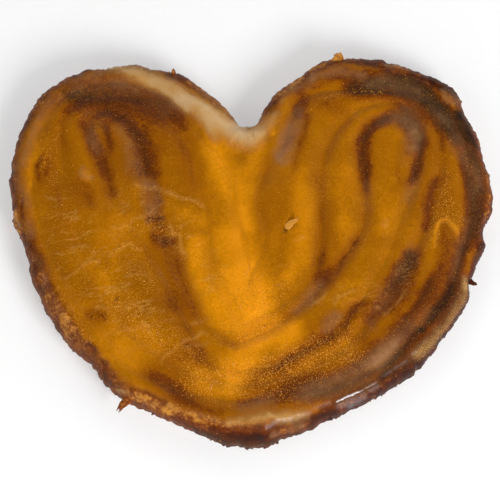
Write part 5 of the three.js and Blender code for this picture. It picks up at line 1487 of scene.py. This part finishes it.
grainSizes = {
    "count": 6000, "least": 0.05, "most": 0.11, "uneven": (0.7, 1.2),
    "bare": 0.02, "gather": 1.2, "softer": 1.6,  # chance where no sugar is painted, and how much it gathers
    "sink": 0.35, "jitter": 0.12,
    "corner": 1.3,  # a cube's size over half its edge
    "dark": colour(190, 112, 12), "light": colour(246, 176, 66),
    "mottle": (1500.0, 2.0, 2.0), "roughness": 0.18,
}


# Sugar grains: cells of the top are drawn by area times sugar, and each grain sits at a random spot of its
# cell, sunk into it.
def buildGrains(values):
    top = pastry["top"]
    closed = np.concatenate([top, top[:, :1]], axis=1)
    a, b, c, d = closed[:-1, :-1], closed[1:, :-1], closed[1:, 1:], closed[:-1, 1:]
    area = np.linalg.norm(np.cross(c - a, d - b), axis=2).ravel() / 2
    centre = ((a + b + c + d) / 4).reshape(-1, 3)
    sugar = paint(slanted(centre), sugarStrokes, values["softer"])
    weight = area * (values["bare"] + sugar) ** values["gather"]
    chosen = rng.choice(len(weight), values["count"], p=weight / weight.sum())
    s, t = rng.random((2, values["count"], 1))
    corner = lambda grid: grid.reshape(-1, 3)[chosen]
    spots = (corner(a) * (1 - s) + corner(b) * s) * (1 - t) + (corner(d) * (1 - s) + corner(c) * s) * t
    size = randomSizes(values)
    spots[:, 2] += size.min(axis=1) * values["sink"]
    points, faces = scatterShapes(cubeCorners, cubeFaces, spots, size / values["corner"], values["jitter"])
    material, tree, shader = newMaterial("sugarGrain", Roughness=values["roughness"])
    tint = mottled(tree, *values["mottle"])
    tree.links.new(mixColour(tree, tint, values["dark"], values["light"]), shader.inputs["Base Color"])
    return makeMesh("sugarGrains", points, [faces], material, smoothShade=False)


attach(buildGrains(grainSizes))
print("sugar grains done")

crumbSizes = {
    "count": 620, "least": 0.16, "most": 0.46, "uneven": (0.6, 1.3), "jitter": 0.16,
    "heights": (2.2, 8.4), "belly": 6.2,
    "above": 0.14, "below": 0.04,  # how fast the wall recedes above and below the belly
    "sunk": (0.05, 0.4),
    "tone": (0.35, 0.25),  # middle and spread
    "mottle": (1300.0, 3.0, 1.6), "toneFray": 0.8, "roughness": 0.5, "shine": 0.12, "bump": (0.4, 0.0001),
}


# Dry crumb in the wall's colours; the tone of each shape chooses among them.
def crumbMaterial(values):
    material, tree, shader = newMaterial(
        "bakedCrumb", Roughness=values["roughness"], Specular_IOR_Level=values["shine"]
    )
    fine = mottled(tree, *values["mottle"])
    tone = frayed(tree, attribute(tree, "tone"), fine, values["toneFray"])
    tree.links.new(colourSteps(tree, tone, crustFinish["wall"]), shader.inputs["Base Color"])
    addBump(tree, shader, fine, *values["bump"])
    return material


# Crumbs on the rim: spots on the outline sunk a little into the wall, from low on it up to the shoulder.
def buildCrumbs(values, material):
    outline = pastry["outline"]
    count = values["count"]
    along = rng.random(count) * (len(outline) - 1)
    k = along.astype(int)
    start, step = outline[k], outline[k + 1] - outline[k]
    out = np.stack([-step[:, 1], step[:, 0]], axis=1) / np.linalg.norm(step, axis=1, keepdims=True)
    height = rng.uniform(*values["heights"], count)
    over = height - values["belly"]
    inward = np.where(over > 0, values["above"] * over ** 2, -values["below"] * over)
    inward = inward + rng.uniform(*values["sunk"], count)
    flat = start + step * (along - k)[:, None] - out * inward[:, None]
    centres, size = np.column_stack([flat, height]), randomSizes(values)
    points, faces = scatterShapes(lumpCorners, lumpTriangles(), centres, size, values["jitter"])
    piece = makeMesh("rimCrumbs", points, [faces], material)
    tone = np.clip(rng.normal(*values["tone"], count), 0, 1)
    setAttribute(piece, "tone", np.repeat(tone, len(lumpCorners)))
    return piece


bakedCrumb = crumbMaterial(crumbSizes)
attach(buildCrumbs(crumbSizes, bakedCrumb))
print("crumbs done")

# Flakes that stand off the edge or the top: place, heading and tilt in degrees, and size.
flakes = [
    {"at": [24.2, 53, 10.6], "heading": 104, "tilt": 10, "length": 4.6, "width": 5.6,
     "thick": 0.7, "curl": 0.5, "tone": 0.8, "taper": 0.7},
    {"at": [-32.1, -41.6, 8.4], "heading": 236, "tilt": -16, "length": 8, "width": 3,
     "thick": 0.8, "curl": -1.1, "tone": 0.6, "taper": 0.7},
    {"at": [-51.4, 45.6, 8.8], "heading": 122, "tilt": 0, "length": 4, "width": 5.4,
     "thick": 0.9, "curl": 0.3, "tone": 0.3, "taper": 0.7},
    {"at": [-21, 49.2, 10.4], "heading": 112, "tilt": 20, "length": 3.6, "width": 2.2,
     "thick": 0.7, "curl": 0.3, "tone": 0.6, "taper": 0.7},
    {"at": [58.8, -9.0, 6.4], "heading": -10, "tilt": 0, "length": 3.6, "width": 2.4,
     "thick": 0.9, "curl": -0.2, "tone": 0.1, "taper": 0.7},
    {"at": [11.2, 5.0, 13.7], "heading": 42, "tilt": 14, "length": 4.8, "width": 2.2,
     "thick": 0.3, "curl": 0.8, "tone": 0.95, "taper": 0.96},
]
flakeShape = {
    "long": 20, "wide": 12, "thinning": 0.4, "bend": 0.12, "bendWave": 5, "seed": 301, "seedStep": 7,
    "ragged": 0.3, "raggedSize": 0.6,
    "edgeRate": (5, 3, 0.4),  # cells of the edge's noise: along it, between the two edges, and inwards
    "tipRate": 2.5,
    "crumple": (0.12, 1.3),  # height and size of its unevenness
    "lens": (1.02, 4, 0.06),  # how its thickness falls off to both sides: start, power, least
}


# A flake: a thin plate that narrows and curls to its free end, its edge ragged. Both faces are one grid, and
# the band between them closes it.
def buildFlake(flake, shape, seed):
    lengths, widths = np.linspace(0, 1, shape["long"] + 1), np.linspace(-1, 1, shape["wide"] + 1)
    out, side = np.meshgrid(lengths, widths, indexing="ij")
    alongRate, sideRate, inRate = shape["edgeRate"]
    ragged, size = shape["ragged"], shape["raggedSize"]
    uneven = roughness2(out * alongRate + sideRate * np.sign(side), side * inRate + seed, size, seed)
    edge = 1 + ragged * uneven * np.abs(side)
    tip = 1 + ragged * roughness2(side * shape["tipRate"], out * 0, size, seed + 9) * out
    x = (out - 0.5) * flake["length"] * tip
    y = side * flake["width"] / 2 * (1 - flake["taper"] * out ** 2) * edge
    y = y + shape["bend"] * flake["width"] * np.sin(shape["bendWave"] * out)
    start, power, least = shape["lens"]
    lens = np.sqrt(np.clip(start - np.abs(side) ** power, least, 1))
    thick = flake["thick"] / 2 * (1 - shape["thinning"] * out) * lens
    crumple, crumpleSize = shape["crumple"]
    lift = flake["curl"] * out ** 2 + crumple * roughness2(x, y, crumpleSize, seed + 5)
    ids = np.arange(out.size).reshape(out.shape)
    upper = np.stack([ids[:-1, :-1], ids[1:, :-1], ids[1:, 1:], ids[:-1, 1:]], axis=-1).reshape(-1, 4)
    rimIds = np.concatenate([ids[:-1, 0], ids[-1, :-1], ids[:0:-1, -1], ids[0, :0:-1]])
    nextIds = np.roll(rimIds, -1)
    band = np.stack([nextIds, rimIds, rimIds + out.size, nextIds + out.size], axis=1)
    faces = np.vstack([upper, upper[:, ::-1] + out.size, band])
    sheets = [np.stack([x, y, lift + half], axis=-1) for half in (thick, -thick)]
    points = np.concatenate([sheet.reshape(-1, 3) for sheet in sheets])
    tilt, heading = math.radians(flake["tilt"]), math.radians(flake["heading"])
    raised = np.array([[math.cos(tilt), 0, -math.sin(tilt)], [0, 1, 0], [math.sin(tilt), 0, math.cos(tilt)]])
    turned = np.array([
        [math.cos(heading), -math.sin(heading), 0], [math.sin(heading), math.cos(heading), 0], [0, 0, 1],
    ])
    return points @ raised.T @ turned.T + np.array(flake["at"]), faces


# All flakes as one piece.
def buildFlakes(shape, material):
    pointLists, faceLists, tones = [], [], []
    total = 0
    for k, flake in enumerate(flakes):
        points, faces = buildFlake(flake, shape, shape["seed"] + shape["seedStep"] * k)
        pointLists.append(points)
        faceLists.append(faces + total)
        tones.append(np.full(len(points), flake["tone"]))
        total += len(points)
    piece = makeMesh("edgeFlakes", np.vstack(pointLists), faceLists, material)
    setAttribute(piece, "tone", np.concatenate(tones))
    return piece


attach(buildFlakes(flakeShape, bakedCrumb))
print("flakes done")

# Camera, light and floor, in metres.
studio = {
    "target": (-0.0002, -0.0014, 0.006), "distance": 0.45, "elevation": 72, "lens": 120, "sensor": 36,
    "nearest": 0.01,
    "floor": 3.0, "floorColour": (0.62, 0.62, 0.62, 1), "floorRoughness": 0.9,
    "floorGlow": 0.34,  # evens out the shadow round the object
    "dimmer": (0.5, 0.9, 0.85, 0.12),  # heights between which the world dims, and its strength at both
    "backdrop": 0.95,  # brightness of the world where the camera sees it
    "lamps": [  # place, size, watts
        ((0.42, -0.52, 0.5), 0.34, 6.6),
        ((-0.75, -0.35, 0.6), 1.0, 4.0),
        ((0.75, 0.25, 0.65), 1.0, 2.6),
        ((-0.15, 0.85, 0.55), 1.0, 4.1),
        ((0.0, -0.9, 0.55), 1.0, 2.2),
    ],
}


# An object for the given camera, lamp or mesh.
def addToScene(name, data):
    thing = bpy.data.objects.new(name, data)
    bpy.context.scene.collection.objects.link(thing)
    return thing


# The camera in front of its target, raised by the elevation on a circle of the distance.
def buildCamera(values):
    camera = addToScene("camera", bpy.data.cameras.new("camera"))
    camera.data.lens = values["lens"]
    camera.data.sensor_width = values["sensor"]
    camera.data.clip_start = values["nearest"]
    rise = math.radians(values["elevation"])
    x, y, z = values["target"]
    camera.location = (x, y - math.cos(rise) * values["distance"], z + math.sin(rise) * values["distance"])
    camera.rotation_euler = (math.radians(90 - values["elevation"]), 0, 0)
    bpy.context.scene.camera = camera


# A level square under the part, none of its pieces.
def buildFloor(values):
    mesh = bpy.data.meshes.new("floor")
    half = values["floor"] / 2
    corners = [(-half, -half, 0), (half, -half, 0), (half, half, 0), (-half, half, 0)]
    mesh.from_pydata(corners, [], [(0, 1, 2, 3)])
    material = newMaterial(
        "paleFloor", Base_Color=values["floorColour"], Emission_Color=(1, 1, 1, 1),
        Emission_Strength=values["floorGlow"], Roughness=values["floorRoughness"], Specular_IOR_Level=0.0,
    )[0]
    mesh.materials.append(material)
    floor = addToScene("floor", mesh)
    floor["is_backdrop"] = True


# Square softboxes that face the origin.
def buildLamps(values):
    for k, ((x, y, z), size, watts) in enumerate(values["lamps"]):
        lamp = addToScene(f"softbox{k}", bpy.data.lights.new(f"softbox{k}", "AREA"))
        lamp.data.shape = "SQUARE"
        lamp.data.size = size
        lamp.data.energy = watts
        lamp.location = (x, y, z)
        lamp.rotation_euler = (math.atan2(math.hypot(x, y), z), 0, math.atan2(y, x) + math.pi / 2)


# The world lights the object with bright walls and a dark ceiling, and the camera sees it evenly bright.
def buildWorld(values):
    world = bpy.data.worlds.new("studio")
    bpy.context.scene.world = world
    world.use_nodes = True
    tree = world.node_tree
    lit = tree.nodes["Background"]
    direction = addNode(tree, "ShaderNodeTexCoord")
    split = addNode(tree, "ShaderNodeSeparateXYZ")
    dimmer = addNode(tree, "ShaderNodeMapRange")
    tree.links.new(direction.outputs["Generated"], split.inputs[0])
    feed(tree, dimmer.inputs[:5], (split.outputs["Z"], *values["dimmer"]))
    tree.links.new(dimmer.outputs[0], lit.inputs["Strength"])
    seen = addNode(tree, "ShaderNodeBackground", Strength=values["backdrop"])
    paths = addNode(tree, "ShaderNodeLightPath")
    mix = addNode(tree, "ShaderNodeMixShader")
    feed(tree, mix.inputs[:3], (paths.outputs["Is Camera Ray"], lit.outputs[0], seen.outputs[0]))
    tree.links.new(mix.outputs[0], tree.nodes["World Output"].inputs[0])
    bpy.context.scene.view_settings.view_transform = "Standard"


buildCamera(studio)
buildFloor(studio)
buildLamps(studio)
buildWorld(studio)
print("studio done")

{"cad": cadBox, "visual": [list(corner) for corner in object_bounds()]}
